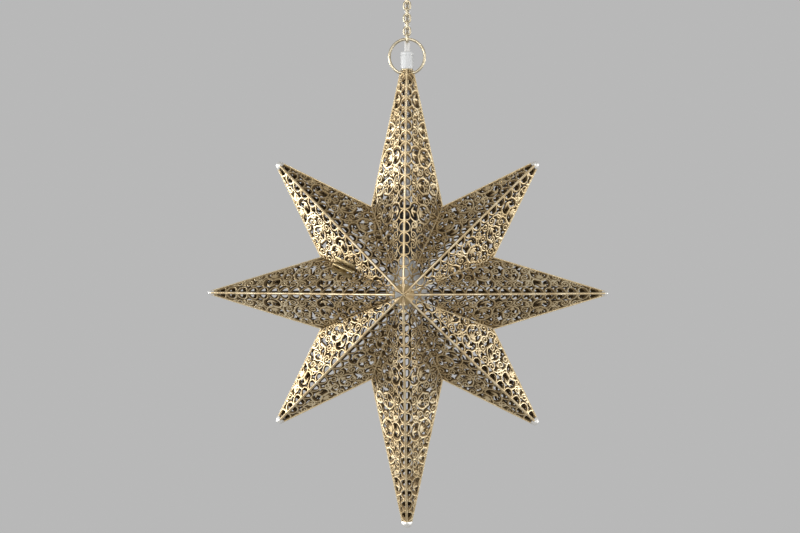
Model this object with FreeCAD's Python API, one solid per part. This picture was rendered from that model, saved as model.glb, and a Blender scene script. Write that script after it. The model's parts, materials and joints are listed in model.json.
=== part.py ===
# An eight-pointed star pendant of pierced and folded sheet brass.
#
# The star hangs by a wire ring, a short chain and a loop from a ceiling cup.
# One front ray is a hinged door, through which the bulb is changed.
# All sizes are in millimetres. Everything is drawn about the star's centre, with X to the
# right, Y to the back and Z up, and is lowered at the end so that the ceiling is at Z = 0.
import FreeCAD, Part
import math
import os

Vector = FreeCAD.Vector

# The star.
ray_count = 8
half_depth = 75.0  # from the middle plane to the front and back apex
tall_ray_reach = 277.0  # where the edges of the top and bottom rays would meet
wide_ray_reach = 224.0  # the same for the left and right rays
diagonal_ray_reach = 210.0
notch_reach = 103.0  # the inner corners between the rays
tall_ray_cut = 22.0  # how much of the point is cut off, where the solder closes the ray
wide_ray_cut = 7.0
diagonal_ray_cut = 10.5
neck_cut = 32.0  # the same for the open neck at the top of the upper ray
bead_rise = 3.5  # how far the solder stands out of a ray's end
bead_shoulder_rise = 2.0
bead_shoulder_share = 0.85
bead_crown_share = 0.4
sheet = 0.8

# The piercing of one facet, in rows along the ridge.
ridge_band = 4.0  # plain sheet beside the fold
edge_band = 3.5  # plain sheet along the valley and the outline
piercing_bar = 2.6  # metal between two openings
arch_row_depth = 12.0
arch_pitch = 36.0
scroll_row_depth = 16.0
scroll_pitch = 41.0
palmette_pitch = 45.0
palmette_depth_share = 0.8  # of the depth at which its sides would meet
arch_shoulder = 0.55  # where an opening starts to close in, as a share of its depth
scroll_shoulder = 0.3

# The door in the left ray, and its hinge in the valley above it.
door_gap = 0.5
door_corner_trim = 9.0  # cut off the door's corner at the apex
hinge_from_notch = 24.0
hinge_length = 31.0
knuckle_radius = 2.3
hinge_pin_radius = 0.9
hinge_pin_play = 0.06
hinge_pin_head_radius = 1.6
hinge_pin_head = 0.8
knuckle_gap = 0.3
knuckle_lift = 0.35  # between the barrel and the sheets below it
leaf_thickness = 0.8
leaf_width = 7.0
leaf_set_back = 2.9  # from below the barrel's axis to the leaf

# The ring that the star hangs by.
ring_radius = 19.4  # to the middle of the wire
ring_wire_radius = 1.6
ring_bend_from_centre = 8.8  # where the wire turns into the neck
ring_below_rim = 2.8  # the pivot, under the neck's rim
ring_hole_play = 0.2
ring_end_gap = 0.4  # between the wire's ends and the bush
ring_steps = 24

# The bush in the neck and the cord grip screwed onto it.
bush_radius = 4.0
bush_bore_radius = 3.35
bush_length_inside = 19.0
bush_length_above = 10.8
flange_radius = 6.4
flange_thickness = 1.2
grip_radius = 7.15
grip_body_height = 15.0
grip_cap_height = 3.8
grip_cap_reveal = 0.35  # the fine groove round the joint with the cap
grip_thread_play = 0.05
grip_bore_radius = 5.8

# The chain.
link_count = 7
link_wire_radius = 1.2
link_inner_length = 7.3
link_width = 9.2
link_turn_steps = 5  # straight stretches in each round end
contact_gap = 0.3  # between wires that hang on each other

# The flat two-core cord.
cord_half_width = 3.1
cord_half_thickness = 1.7
cord_edge_round = 0.8
cord_behind_chain = 0.35
cord_bow = 0.3  # further back halfway up the chain, and in the lamp's own cord
cord_joint_gap = 0.1  # between the lamp's cord and the chain's
cord_lower_rise = 8.0  # straight up, before it leans back to pass behind the chain
cord_lean = 12.5  # over which height it leans
cord_upper_drop = 2.0  # below the collar, back in line
cord_into_block = 10.0
cord_bend_steps = 3

# The lamp holder and the bulb.
holder_mouth_height = 40.0
holder_radius = 14.0
holder_body_height = 42.0
holder_bore_radius = 9.0
holder_bore_depth = 26.0
holder_upper_bore_radius = 6.5
holder_cap_height = 15.0
holder_cap_top_radius = 7.5
holder_cap_round = 5.0
holder_rib_count = 3
holder_rib_rise = 0.6
holder_rib_height = 2.0
insert_play = 0.1
insert_shell_radius = 8.0
insert_shell_bore = 7.2
insert_recess = 2.0
insert_base_height = 2.5
contact_radius = 2.0
contact_height = 1.2
bulb_cap_radius = 7.0
bulb_cap_length = 20.0
bulb_tip_radius = 3.0
bulb_tip_length = 1.6
bulb_seat_gap = 0.3
bulb_globe_radius = 22.5
bulb_neck_radius = 8.2
bulb_neck_to_globe = 35.0  # from the cap's rim to the globe's centre
globe_shoulder_turn = math.radians(50)  # above the globe's middle, where the neck starts
globe_steps = 8

# The ceiling cup and what hangs in it.
loop_wire_radius = 2.0
loop_inner_width = 12.0
loop_height = 22.0  # from the middle of its lowest wire to its collar
loop_turn_steps = 8
collar_radius = 11.0
collar_height = 4.0
collar_neck_radius = 7.5
collar_neck_height = 8.0
nipple_radius = 5.0
nipple_bore_radius = 3.8
nipple_thread_length = 9.0  # of the tube that the collar takes
nipple_above_cup = 8.5
nipple_play = 0.05
nut_height = 5.0
nut_across_flats = 14.0
nut_sides = 6
cup_radius = 55.0
cup_depth = 35.0
cup_wall = 1.0
cup_straight_rim = 14.0
cup_floor_radius = 14.0
cup_shoulder_steps = 4
bracket_thickness = 2.0
bracket_width = 20.0
bracket_ear_height = 11.0
bracket_ear_gap = 0.3
bracket_hole_spacing = 70.0
bracket_hole_radius = 2.3
cup_screw_radius = 2.0
cup_screw_length = 9.0
cup_screw_head_radius = 4.0
cup_screw_head = 3.0
cup_screw_play = 0.15
block_width = 18.0
block_height = 12.0
block_depth = 16.0
block_screw_radius = 2.2
block_screw_depth = 1.5

# Flat sides of the round pieces.
wire_sides = 8
turned_sides = 16
cup_sides = 24
pin_sides = 12

# Worked out from the sizes above.
neck_height = tall_ray_reach - neck_cut
neck_index = ray_count // 4
door_index = ray_count // 2
sector = 2 * math.pi / ray_count
half_sector = sector / 2
origin = Vector(0, 0, 0)
right = Vector(1, 0, 0)
back = Vector(0, 1, 0)
up = Vector(0, 0, 1)
pivot_height = neck_height - ring_below_rim
ring_centre_height = pivot_height + math.sqrt(ring_radius**2 - ring_bend_from_centre**2)
link_end_radius = link_width / 2 - link_wire_radius  # to the middle of the wire
link_middle_length = link_inner_length + 2 * link_wire_radius
link_spacing = link_inner_length - contact_gap
lowest_wire_height = ring_centre_height + ring_radius - ring_wire_radius - link_wire_radius - contact_gap
top_link_wire_height = lowest_wire_height + link_middle_length + link_spacing * (link_count - 1)
loop_wire_height = top_link_wire_height - loop_wire_radius - link_wire_radius - contact_gap
collar_bottom = loop_wire_height + loop_height
cup_bottom = collar_bottom + collar_height + collar_neck_height
ceiling_height = cup_bottom + cup_depth
bush_top = neck_height + bush_length_above
grip_bottom = neck_height + flange_thickness
grip_top = grip_bottom + grip_body_height + grip_cap_height
holder_top = holder_mouth_height + holder_body_height + holder_cap_height
cord_offset = link_width / 2 + cord_behind_chain + cord_half_thickness
cord_share = 0.45  # of the shorter run beside a bend that its arc may take
cord_join_height = bush_top + contact_gap
bracket_bottom = ceiling_height - bracket_thickness


def write(name, shape):
    """Save one piece, lowered so that the ceiling is at Z = 0."""
    placed = shape.copy()
    placed.translate(Vector(0, 0, -ceiling_height))
    placed.exportStep("parts/" + name + ".step")


def flat(points):
    return Part.Face(Part.makePolygon(points + points[:1]))


def closed_solid(faces):
    """The solid inside a set of flat faces that meet edge to edge."""
    shell = Part.makeShell(faces)
    shell.sewShape()
    solid = Part.makeSolid(shell)
    if solid.Volume < 0:
        solid.reverse()
    return solid


def turned(profile, sides):
    """A solid about the vertical axis from a closed outline of (radius, height) points.

    It has flat sides, each as far from the axis as the outline says.
    """
    half_side = math.pi / sides
    rings = []
    for radius, height in profile:
        corner = radius / math.cos(half_side)
        turns = [half_side * (2 * side + 1) for side in range(sides)]
        rings.append([Vector(corner * math.cos(turn), corner * math.sin(turn), height) for turn in turns])
    faces = []
    for index, (radius, height) in enumerate(profile):
        last_radius = profile[index - 1][0]
        for side in range(sides):
            edge = [rings[index][side - 1], rings[index][side]]
            last_edge = [rings[index - 1][side], rings[index - 1][side - 1]]
            corners = edge[: 2 if radius else 1] + last_edge[: 2 if last_radius else 1]
            if len(corners) > 2:
                faces.append(flat(corners))
    return closed_solid(faces)


def tube(outer, inner, bottom, top):
    return turned([(inner, bottom), (outer, bottom), (outer, top), (inner, top)], turned_sides)


def rod(radius, length, start, heading, sides):
    """A straight bar with flat sides, each at the radius from its axis."""
    corner = radius / math.cos(math.pi / sides)
    first = (right - heading * right.dot(heading)).normalize()
    second = heading.cross(first)
    turns = [math.pi * (2 * side + 1) / sides for side in range(sides)]
    points = [start + first * (corner * math.cos(t)) + second * (corner * math.sin(t)) for t in turns]
    return flat(points).extrude(heading * length)


def swept(path, side, section, closed):
    """A bar of flat faces along a path in the plane across side, mitred at each corner.

    The section is a list of (along side, along the outside of the path) distances.
    """
    rings = []
    last = len(path) - 1
    for index, point in enumerate(path):
        before = path[index - 1] if closed or index > 0 else None
        after = path[(index + 1) % len(path)] if closed or index < last else None
        arriving = (point - before).normalize() if before is not None else (after - point).normalize()
        leaving = (after - point).normalize() if after is not None else arriving
        heading = (arriving + leaving).normalize()
        outside = heading.cross(side)
        stretch = 1 / heading.dot(arriving)
        rings.append([point + side * across + outside * (stretch * out) for across, out in section])
    faces = []
    for index in range(len(path) if closed else last):
        near = rings[index]
        far = rings[(index + 1) % len(path)]
        for corner in range(len(section)):
            faces.append(flat([near[corner - 1], near[corner], far[corner], far[corner - 1]]))
    if not closed:
        faces += [flat(rings[0]), flat(rings[-1])]
    return closed_solid(faces)


def round_section(radius):
    turns = [2 * math.pi * (side + 0.5) / wire_sides for side in range(wire_sides)]
    return [(radius * math.cos(turn), radius * math.sin(turn)) for turn in turns]


def arc(centre, first, second, radius, start, end, steps):
    """Points on an arc, with the angles in radians from the first direction to the second."""
    turns = [start + (end - start) * step / steps for step in range(steps + 1)]
    return [centre + first * (radius * math.cos(t)) + second * (radius * math.sin(t)) for t in turns]


# ---- The pierced rays ----


def ray_reach(index):
    """The reach of a ray, counted from the right one, anticlockwise from the front."""
    if index % 2:
        return diagonal_ray_reach
    return wide_ray_reach if index % door_index == 0 else tall_ray_reach


def ray_end(index):
    if index % 2:
        return diagonal_ray_reach - diagonal_ray_cut
    if index % door_index == 0:
        return wide_ray_reach - wide_ray_cut
    return neck_height if index == neck_index else tall_ray_reach - tall_ray_cut


def towards(start, end, distance_out):
    """The point on the line from start to end that lies distance_out along X."""
    share = (distance_out - start.x) / (end.x - start.x)
    return start + (end - start) * share


def facet_corners(reach, end, scale):
    """The corners of a ray's upper facet, for a ray along X: apex, ridge end, outline end, notch."""
    apex = Vector(0, -half_depth, 0) * scale
    point = Vector(reach, 0, 0) * scale
    notch = Vector(notch_reach * math.cos(half_sector), 0, notch_reach * math.sin(half_sector)) * scale
    return [apex, towards(apex, point, end), towards(notch, point, end), notch]


def openings(length, notch_along, notch_depth, end_along):
    """Outlines of a facet's openings, as (along the ridge, away from the ridge) points."""
    slope_in = notch_along / notch_depth
    slope_out = (length - notch_along) / notch_depth
    margin_in = edge_band * math.hypot(slope_in, 1)
    margin_out = edge_band * math.hypot(slope_out, 1)

    def first(depth):
        return depth * slope_in + margin_in

    def last(depth):
        return min(length - depth * slope_out - margin_out, end_along - edge_band)

    def row(near, far, pitch, outline):
        room = last((near + far) / 2) - first((near + far) / 2)
        count = max(1, round(room / pitch))
        for cell in range(count):
            corners = []
            for depth in (near, far):
                width = (last(depth) - first(depth) + piercing_bar) / count
                start = first(depth) + width * cell
                corners.append((start, start + width - piercing_bar))
            (near_start, near_end), (far_start, far_end) = corners
            points = []
            for across, deep in outline:
                near_point = near_start + (near_end - near_start) * across
                far_point = far_start + (far_end - far_start) * across
                along = near_point + (far_point - near_point) * deep
                points.append((along, near + (far - near) * deep))
            yield points

    arch = [(0, 0), (1, 0), (1, arch_shoulder), (0.5, 1), (0, arch_shoulder)]
    closing = 1 - scroll_shoulder
    scroll = [(0.5, 0), (1, scroll_shoulder), (1, closing), (0.5, 1), (0, closing), (0, scroll_shoulder)]
    palmette = [(0, 0), (1, 0), (0.5, 1)]
    arch_far = ridge_band + arch_row_depth
    scroll_near = arch_far + piercing_bar
    scroll_far = scroll_near + scroll_row_depth
    palmette_near = scroll_far + piercing_bar
    room_at_start = last(palmette_near) - first(palmette_near)
    closes_over = slope_in + slope_out
    palmette_far = palmette_near + palmette_depth_share * room_at_start / closes_over
    yield from row(ridge_band, arch_far, arch_pitch, arch)
    yield from row(scroll_near, scroll_far, scroll_pitch, scroll)
    yield from row(palmette_near, palmette_far, palmette_pitch, palmette)


def facet_faces(reach, end, flip):
    """All faces of one pierced facet but the one at the fold."""
    outer = facet_corners(reach, end, 1)
    apex, ridge_end, outline_end, notch = outer
    along = (ridge_end - apex).normalize()
    inward = (notch - apex).cross(along).normalize()
    if inward.y < 0:
        inward = -inward
    away = (notch - apex) - along * (notch - apex).dot(along)
    notch_depth = away.Length
    away.normalize()
    apex_to_plane = -apex.dot(inward)
    inner = facet_corners(reach, end, 1 - sheet / apex_to_plane)
    full_length = math.hypot(reach, half_depth)
    outlines = openings(full_length, (notch - apex).dot(along), notch_depth, (ridge_end - apex).Length)
    outer_wires = [Part.makePolygon(outer + outer[:1])]
    inner_wires = [Part.makePolygon(inner + inner[:1])]
    faces = [flat([apex, notch, inner[3], inner[0]])]
    faces.append(flat([notch, outline_end, inner[2], inner[3]]))
    faces.append(flat([outline_end, ridge_end, inner[1], inner[2]]))
    for outline in outlines:
        front = [apex + along * far_along + away * depth for far_along, depth in outline]
        rear = [point + inward * sheet for point in front]
        outer_wires.append(Part.makePolygon(front + front[:1]))
        inner_wires.append(Part.makePolygon(rear + rear[:1]))
        for corner in range(len(front)):
            faces.append(flat([front[corner - 1], front[corner], rear[corner], rear[corner - 1]]))
    faces.append(Part.makeFace(outer_wires, "Part::FaceMakerBullseye"))
    faces.append(Part.makeFace(inner_wires, "Part::FaceMakerBullseye"))
    if flip:
        faces = [face.mirror(origin, up) for face in faces]
    return faces


def folded_ray(index):
    """The front half of one ray: a sheet folded along its ridge, turned to its place."""
    reach = ray_reach(index)
    end = ray_end(index)
    ray = closed_solid(facet_faces(reach, end, False) + facet_faces(reach, end, True))
    ray.rotate(origin, -back, math.degrees(sector * index))
    return ray


def bead(index):
    """The domed solder that closes the end of a ray."""
    reach = ray_reach(index)
    end = ray_end(index)
    apex, ridge_end, outline_end, notch = facet_corners(reach, end, 1)
    rings = []
    for rise, share in ((0, 1), (bead_shoulder_rise, bead_shoulder_share), (bead_rise, bead_crown_share)):
        out = Vector(end + rise, 0, 0)
        depth = Vector(0, -ridge_end.y * share, 0)
        width = Vector(0, 0, outline_end.z * share)
        rings.append(Part.makePolygon([out + depth, out + width, out - depth, out - width, out + depth]))
    dome = Part.makeLoft(rings, True, True)
    dome.rotate(origin, -back, math.degrees(sector * index))
    return dome


# ---- The door's hinge ----

valley_turn = sector * door_index - half_sector
notch_point = Vector(math.cos(valley_turn), 0, math.sin(valley_turn)) * notch_reach
front_apex = Vector(0, -half_depth, 0)
valley = (front_apex - notch_point).normalize()


def outward_normal(index):
    """The outside normal of the facet of a ray that borders on the door's upper valley."""
    turn = sector * index
    point = Vector(math.cos(turn), 0, math.sin(turn)) * ray_reach(index)
    normal = (point - front_apex).cross(notch_point - front_apex).normalize()
    return normal if normal.y < 0 else -normal


door_normal = outward_normal(door_index)
frame_normal = outward_normal(door_index - 1)
barrel_height = knuckle_radius + knuckle_lift
half_opening = (math.pi - door_normal.getAngle(frame_normal)) / 2
barrel_foot = barrel_height / math.tan(half_opening)
hinge_start = notch_point + valley * hinge_from_notch
barrel_lift = barrel_height / math.sin(half_opening)
axis_start = hinge_start + (door_normal + frame_normal).normalize() * barrel_lift


def inside_facet(normal, index):
    """The direction across a facet, from the valley towards its ridge."""
    turn = sector * index
    point = Vector(math.cos(turn), 0, math.sin(turn)) * ray_reach(index)
    across = (point - notch_point) - valley * (point - notch_point).dot(valley)
    return (across - normal * across.dot(normal)).normalize()


def hinge_leaf(normal, index, knuckles):
    """A plate on one facet, with the knuckles that it carries: (start, length) along the barrel."""
    across = inside_facet(normal, index)
    near = hinge_start + across * (barrel_foot + leaf_set_back)
    along = valley * hinge_length
    far = near + across * leaf_width
    leaf = flat([near, near + along, far + along, far]).extrude(normal * leaf_thickness)
    for start, length in knuckles:
        foot = hinge_start + across * barrel_foot + valley * start
        reach = across * (leaf_set_back + leaf_thickness)
        run = valley * length
        tab = flat([foot, foot + run, foot + run + reach, foot + reach]).extrude(normal * leaf_thickness)
        knuckle = rod(knuckle_radius, length, axis_start + valley * start, valley, pin_sides)
        leaf = leaf.fuse([tab, knuckle])
    bore = rod(hinge_pin_radius + hinge_pin_play, hinge_length, axis_start, valley, pin_sides)
    return leaf.cut(bore).removeSplitter()


def hinge_pin():
    pin = rod(hinge_pin_radius, hinge_length, axis_start, valley, pin_sides)
    top = rod(hinge_pin_head_radius, hinge_pin_head, axis_start + valley * hinge_length, valley, pin_sides)
    bottom = rod(hinge_pin_head_radius, hinge_pin_head, axis_start, -valley, pin_sides)
    return pin.fuse([top, bottom]).removeSplitter()


def door(panel):
    """The left front ray, cut back all round so that it swings free."""
    size = 2 * wide_ray_reach
    low = Vector(-size, -size, -size / 2)
    beyond_tip = Part.makeBox(size - ray_end(door_index) + door_gap, 2 * size, size, low)
    behind = Part.makeBox(2 * size, size, size, Vector(-size, -door_gap, -size / 2))
    at_apex = Part.makeBox(size, 2 * size, size, Vector(-door_corner_trim, -size, -size / 2))
    door_panel = panel.cut([beyond_tip, behind, at_apex])
    for side in (-1, 1):
        turn = sector * door_index + side * half_sector
        out = Vector(math.cos(turn), 0, math.sin(turn)) * size
        outwards = Vector(out.z, 0, -out.x).normalize() * -side
        start = outwards * -door_gap - back * size
        half_space = flat([start, start + back * size, start + back * size + out, start + out])
        door_panel = door_panel.cut(half_space.extrude(outwards * size / 2))
    return door_panel


# ---- Build ----

os.makedirs("parts", exist_ok=True)

ray_names = ["right", "upper_right", "top", "upper_left", "left", "lower_left", "bottom", "lower_right"]
wire_holes = Part.makeCylinder(
    ring_wire_radius + ring_hole_play, 2 * ring_radius, Vector(-ring_radius, 0, pivot_height), right
)
for index, name in enumerate(ray_names):
    front = folded_ray(index)
    rear = front.mirror(origin, back)
    if index == neck_index:
        front = front.cut(wire_holes)
        rear = rear.cut(wire_holes)
    if index == door_index:
        front = door(front)
    write("front_ray_" + name, front)
    write("back_ray_" + name, rear)

beads = [bead(index) for index in range(ray_count) if index != neck_index]
write("tip_beads", Part.makeCompound(beads))


def pair(function):
    """The same shape on both sides of the middle, to the left and to the right."""
    return Part.makeCompound([function(-1), function(1)])


write("hinge_pin", hinge_pin())
knuckle_length = (hinge_length - 2 * knuckle_gap) / 3
middle_start = knuckle_length + knuckle_gap
last_start = hinge_length - knuckle_length
outer_knuckles = [(0, knuckle_length), (last_start, knuckle_length)]
write("hinge_leaf_frame", hinge_leaf(frame_normal, door_index - 1, outer_knuckles))
write("hinge_leaf_door", hinge_leaf(door_normal, door_index, [(middle_start, knuckle_length)]))


# ---- The ring, the bush and the cord grip ----


def hanging_ring():
    """An open wire ring whose two ends are turned into the neck."""
    centre = Vector(0, 0, ring_centre_height)
    gap_turn = math.asin(ring_bend_from_centre / ring_radius)
    round_part = arc(centre, -up, right, ring_radius, gap_turn, 2 * math.pi - gap_turn, ring_steps)
    wire_end = Vector(bush_radius + ring_end_gap, 0, pivot_height)
    path = [wire_end] + round_part + [Vector(-wire_end.x, 0, pivot_height)]
    return swept(path, back, round_section(ring_wire_radius), False)


write("hanging_ring", hanging_ring())

bush_bottom = neck_height - bush_length_inside
bush_profile = [
    (bush_bore_radius, bush_bottom),
    (bush_radius, bush_bottom),
    (bush_radius, neck_height),
    (flange_radius, neck_height),
    (flange_radius, grip_bottom),
    (bush_radius, grip_bottom),
    (bush_radius, bush_top),
    (bush_bore_radius, bush_top),
]
write("neck_bush", turned(bush_profile, turned_sides))

grip_joint = grip_bottom + grip_body_height
grip_thread_radius = bush_radius + grip_thread_play
grip_profile = [
    (grip_thread_radius, grip_bottom),
    (grip_radius, grip_bottom),
    (grip_radius, grip_joint - grip_cap_reveal),
    (grip_radius - grip_cap_reveal, grip_joint - grip_cap_reveal),
    (grip_radius - grip_cap_reveal, grip_joint),
    (grip_bore_radius, grip_joint),
    (grip_bore_radius, bush_top),
    (grip_thread_radius, bush_top),
]
write("cord_grip_body", turned(grip_profile, turned_sides))
write("cord_grip_cap", tube(grip_radius, grip_bore_radius, grip_joint, grip_top))


# ---- The chain and the loop that it hangs on ----


def stadium(centre, across, length, end_radius, steps):
    """The closed path of an upright link: two straights and two round ends."""
    rise = up * (length / 2 - end_radius)
    top = arc(centre + rise, across, up, end_radius, 0, math.pi, steps)
    bottom = arc(centre - rise, across, up, end_radius, math.pi, 2 * math.pi, steps)
    return top + bottom


def chain_link(number):
    """One link, counted from the top; odd ones are seen edge on from the front."""
    middle = top_link_wire_height - link_middle_length / 2 - link_spacing * (number - 1)
    across, side = (back, right) if number % 2 else (right, back)
    path = stadium(Vector(0, 0, middle), across, link_middle_length, link_end_radius, link_turn_steps)
    return swept(path, side, round_section(link_wire_radius), True)


for number in range(1, link_count + 1):
    write("chain_link_" + str(number), chain_link(number))


def chain_loop():
    """A round-ended loop under a threaded collar, with the cord's way down its middle."""
    end_radius = loop_inner_width / 2 + loop_wire_radius
    centre = Vector(0, 0, loop_wire_height + end_radius)
    half_turn = arc(centre, right, up, end_radius, 0, -math.pi, loop_turn_steps)
    leg_top = collar_bottom + collar_height / 2
    path = [Vector(end_radius, 0, leg_top)] + half_turn + [Vector(-end_radius, 0, leg_top)]
    wire = swept(path, back, round_section(loop_wire_radius), False)
    plate_top = collar_bottom + collar_height
    seat_radius = nipple_radius + nipple_play
    seat_bottom = cup_bottom - nipple_thread_length
    profile = [
        (nipple_bore_radius, collar_bottom),
        (collar_radius, collar_bottom),
        (collar_radius, plate_top),
        (collar_neck_radius, plate_top),
        (collar_neck_radius, cup_bottom),
        (seat_radius, cup_bottom),
        (seat_radius, seat_bottom),
        (nipple_bore_radius, seat_bottom),
    ]
    return wire.fuse(turned(profile, turned_sides)).removeSplitter()


write("chain_loop", chain_loop())


# ---- The ceiling cup and its fittings ----

cup_floor = cup_bottom + cup_wall
nipple_bottom = cup_bottom - nipple_thread_length + nipple_play
nipple_top = cup_floor + nipple_above_cup
write("cup_nipple", tube(nipple_radius, nipple_bore_radius, nipple_bottom, nipple_top))

nut = rod(nut_across_flats / 2, nut_height, up * cup_floor, up, nut_sides)
nut_bore = rod(nipple_radius + nipple_play, nut_height, up * cup_floor, up, turned_sides)
write("nipple_nut", nut.cut(nut_bore))


def cup_outline(radius, floor_radius, bottom):
    """One side of the cup's section: the floor's edge, a round shoulder and the straight rim."""
    shoulder_height = ceiling_height - cup_straight_rim - bottom
    width = radius - floor_radius
    points = []
    for step in range(cup_shoulder_steps + 1):
        turn = math.pi / 2 * step / cup_shoulder_steps
        out = floor_radius + width * math.sin(turn)
        points.append((out, bottom + shoulder_height * (1 - math.cos(turn))))
    return points + [(radius, ceiling_height)]


def ceiling_cup():
    outside = cup_outline(cup_radius, cup_floor_radius, cup_bottom)
    inside = cup_outline(cup_radius - cup_wall, cup_floor_radius, cup_floor)
    cup = turned([(0, cup_bottom)] + outside + inside[::-1] + [(0, cup_floor)], cup_sides)
    bore = rod(nipple_radius + nipple_play, cup_depth, up * cup_bottom, up, turned_sides)
    start = Vector(0, -2 * cup_radius, cup_screw_height)
    screw_holes = rod(cup_screw_radius + cup_screw_play, 4 * cup_radius, start, back, pin_sides)
    return cup.cut([bore, screw_holes])


cup_screw_height = bracket_bottom - bracket_ear_height / 2
ear_face = math.sqrt((cup_radius - cup_wall) ** 2 - (bracket_width / 2) ** 2) - bracket_ear_gap
write("ceiling_cup", ceiling_cup())


def bracket():
    """A flat bar across the cup, with two ears turned down for the cup's screws."""
    corner = Vector(-bracket_width / 2, -ear_face, bracket_bottom)
    bar = Part.makeBox(bracket_width, 2 * ear_face, bracket_thickness, corner)
    ear_corner = corner + Vector(0, 2 * ear_face - bracket_thickness, -bracket_ear_height)
    ear = Part.makeBox(bracket_width, bracket_thickness, bracket_ear_height, ear_corner)
    thread_start = Vector(0, -ear_face, cup_screw_height)
    thread = rod(cup_screw_radius + cup_screw_play, 2 * ear_face, thread_start, back, pin_sides)
    holes = [thread]
    for side in (-1, 1):
        place = Vector(0, side * bracket_hole_spacing / 2, bracket_bottom)
        holes.append(Part.makeCylinder(bracket_hole_radius, bracket_thickness, place))
    return bar.fuse([ear, ear.mirror(origin, back)]).cut(holes).removeSplitter()


write("ceiling_bracket", bracket())


def cup_screw(side):
    """A screw through the cup's rim into an ear of the bracket, with a knurled round head."""
    seat = Vector(0, side * (cup_radius + cup_screw_play), cup_screw_height)
    outwards = back * side
    head = rod(cup_screw_head_radius, cup_screw_head, seat, outwards, pin_sides)
    shank = rod(cup_screw_radius, cup_screw_length, seat, -outwards, pin_sides)
    return head.fuse(shank).removeSplitter()


write("cup_screws", pair(cup_screw))

block_face = 2 * cord_into_block
block_bottom = bracket_bottom - block_height


def terminal_block():
    """A two-way block under the bracket, with a way in for the cord and two screw wells."""
    corner = Vector(-block_width / 2, block_face, block_bottom)
    body = Part.makeBox(block_width, block_depth, block_height, corner)
    wells = []
    for side in (-1, 1):
        place = Vector(side * block_width / 4, block_face + block_depth / 2, block_bottom)
        wells.append(rod(block_screw_radius, block_screw_depth, place, up, pin_sides))
    return body.cut(wells)


write("terminal_block", terminal_block())


# ---- The cord ----


def rounded(route):
    """The points of a route with an arc at each bend, as large as the two runs beside it allow."""
    path = [route[0]]
    for before, corner, after in zip(route, route[1:], route[2:]):
        arriving = (corner - before).normalize()
        leaving = (after - corner).normalize()
        turn = arriving.getAngle(leaving)
        tangent = cord_share * min((corner - before).Length, (after - corner).Length)
        radius = tangent / math.tan(turn / 2)
        inwards = (leaving - arriving * leaving.dot(arriving)).normalize()
        start = corner - arriving * tangent
        path += arc(start + inwards * radius, -inwards, arriving, radius, 0, turn, cord_bend_steps)
        print("cord bend radius", round(radius, 1))
    return path + [route[-1]]


cord_section = [
    (cord_half_width, cord_half_thickness - cord_edge_round),
    (cord_half_width - cord_edge_round, cord_half_thickness),
    (cord_edge_round - cord_half_width, cord_half_thickness),
    (-cord_half_width, cord_half_thickness - cord_edge_round),
    (-cord_half_width, cord_edge_round - cord_half_thickness),
    (cord_edge_round - cord_half_width, -cord_half_thickness),
    (cord_half_width - cord_edge_round, -cord_half_thickness),
    (cord_half_width, cord_edge_round - cord_half_thickness),
]
cord_block_height = block_bottom + block_height / 2
lamp_cord_route = [
    Vector(0, 0, holder_top),
    Vector(0, cord_bow, (holder_top + cord_join_height) / 2),
    Vector(0, 0, cord_join_height),
]
chain_cord_route = [
    Vector(0, 0, cord_join_height + cord_joint_gap),
    Vector(0, 0, cord_join_height + cord_lower_rise),
    Vector(0, cord_offset, cord_join_height + cord_lower_rise + cord_lean),
    Vector(0, cord_offset + cord_bow, (cord_join_height + collar_bottom) / 2),
    Vector(0, cord_offset, collar_bottom - cord_upper_drop - cord_lean),
    Vector(0, 0, collar_bottom - cord_upper_drop),
    Vector(0, 0, cord_block_height - cord_into_block),
    Vector(0, cord_into_block, cord_block_height),
    Vector(0, block_face, cord_block_height),
]
write("lamp_cord", swept(rounded(lamp_cord_route), right, cord_section, False))
write("chain_cord", swept(rounded(chain_cord_route), right, cord_section, False))


# ---- The lamp holder and the bulb ----

holder_shoulder = holder_mouth_height + holder_body_height
bore_top = holder_mouth_height + holder_bore_depth
body_profile = [(holder_bore_radius, bore_top), (holder_bore_radius, holder_mouth_height)]
for number in range(holder_rib_count):
    rib_bottom = holder_mouth_height + 2 * holder_rib_height * number
    rib_top = rib_bottom + holder_rib_height
    rib_radius = holder_radius + holder_rib_rise
    body_profile += [(rib_radius, rib_bottom), (rib_radius, rib_top)]
    body_profile += [(holder_radius, rib_top), (holder_radius, rib_top + holder_rib_height)]
body_profile += [(holder_radius, holder_shoulder), (holder_upper_bore_radius, holder_shoulder)]
body_profile.append((holder_upper_bore_radius, bore_top))
write("lamp_holder_body", turned(body_profile, turned_sides))

cord_bore = cord_half_width + cord_half_thickness / 2
cap_profile = [
    (cord_bore, holder_shoulder),
    (holder_radius, holder_shoulder),
    (holder_radius, holder_top - 2 * holder_cap_round),
    (holder_radius - holder_cap_round / 2, holder_top - holder_cap_round),
    (holder_cap_top_radius, holder_top),
    (cord_bore, holder_top),
]
write("lamp_holder_cap", turned(cap_profile, turned_sides))

insert_top = bore_top
insert_bottom = holder_mouth_height + insert_recess
base_bottom = insert_top - insert_base_height
contact_bottom = base_bottom - contact_height
insert_profile = [
    (0, insert_top),
    (holder_bore_radius - insert_play, insert_top),
    (holder_bore_radius - insert_play, base_bottom),
    (insert_shell_radius, base_bottom),
    (insert_shell_radius, insert_bottom),
    (insert_shell_bore, insert_bottom),
    (insert_shell_bore, base_bottom),
    (contact_radius, base_bottom),
    (contact_radius, contact_bottom),
    (0, contact_bottom),
]
write("lamp_holder_insert", turned(insert_profile, turned_sides))

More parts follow.
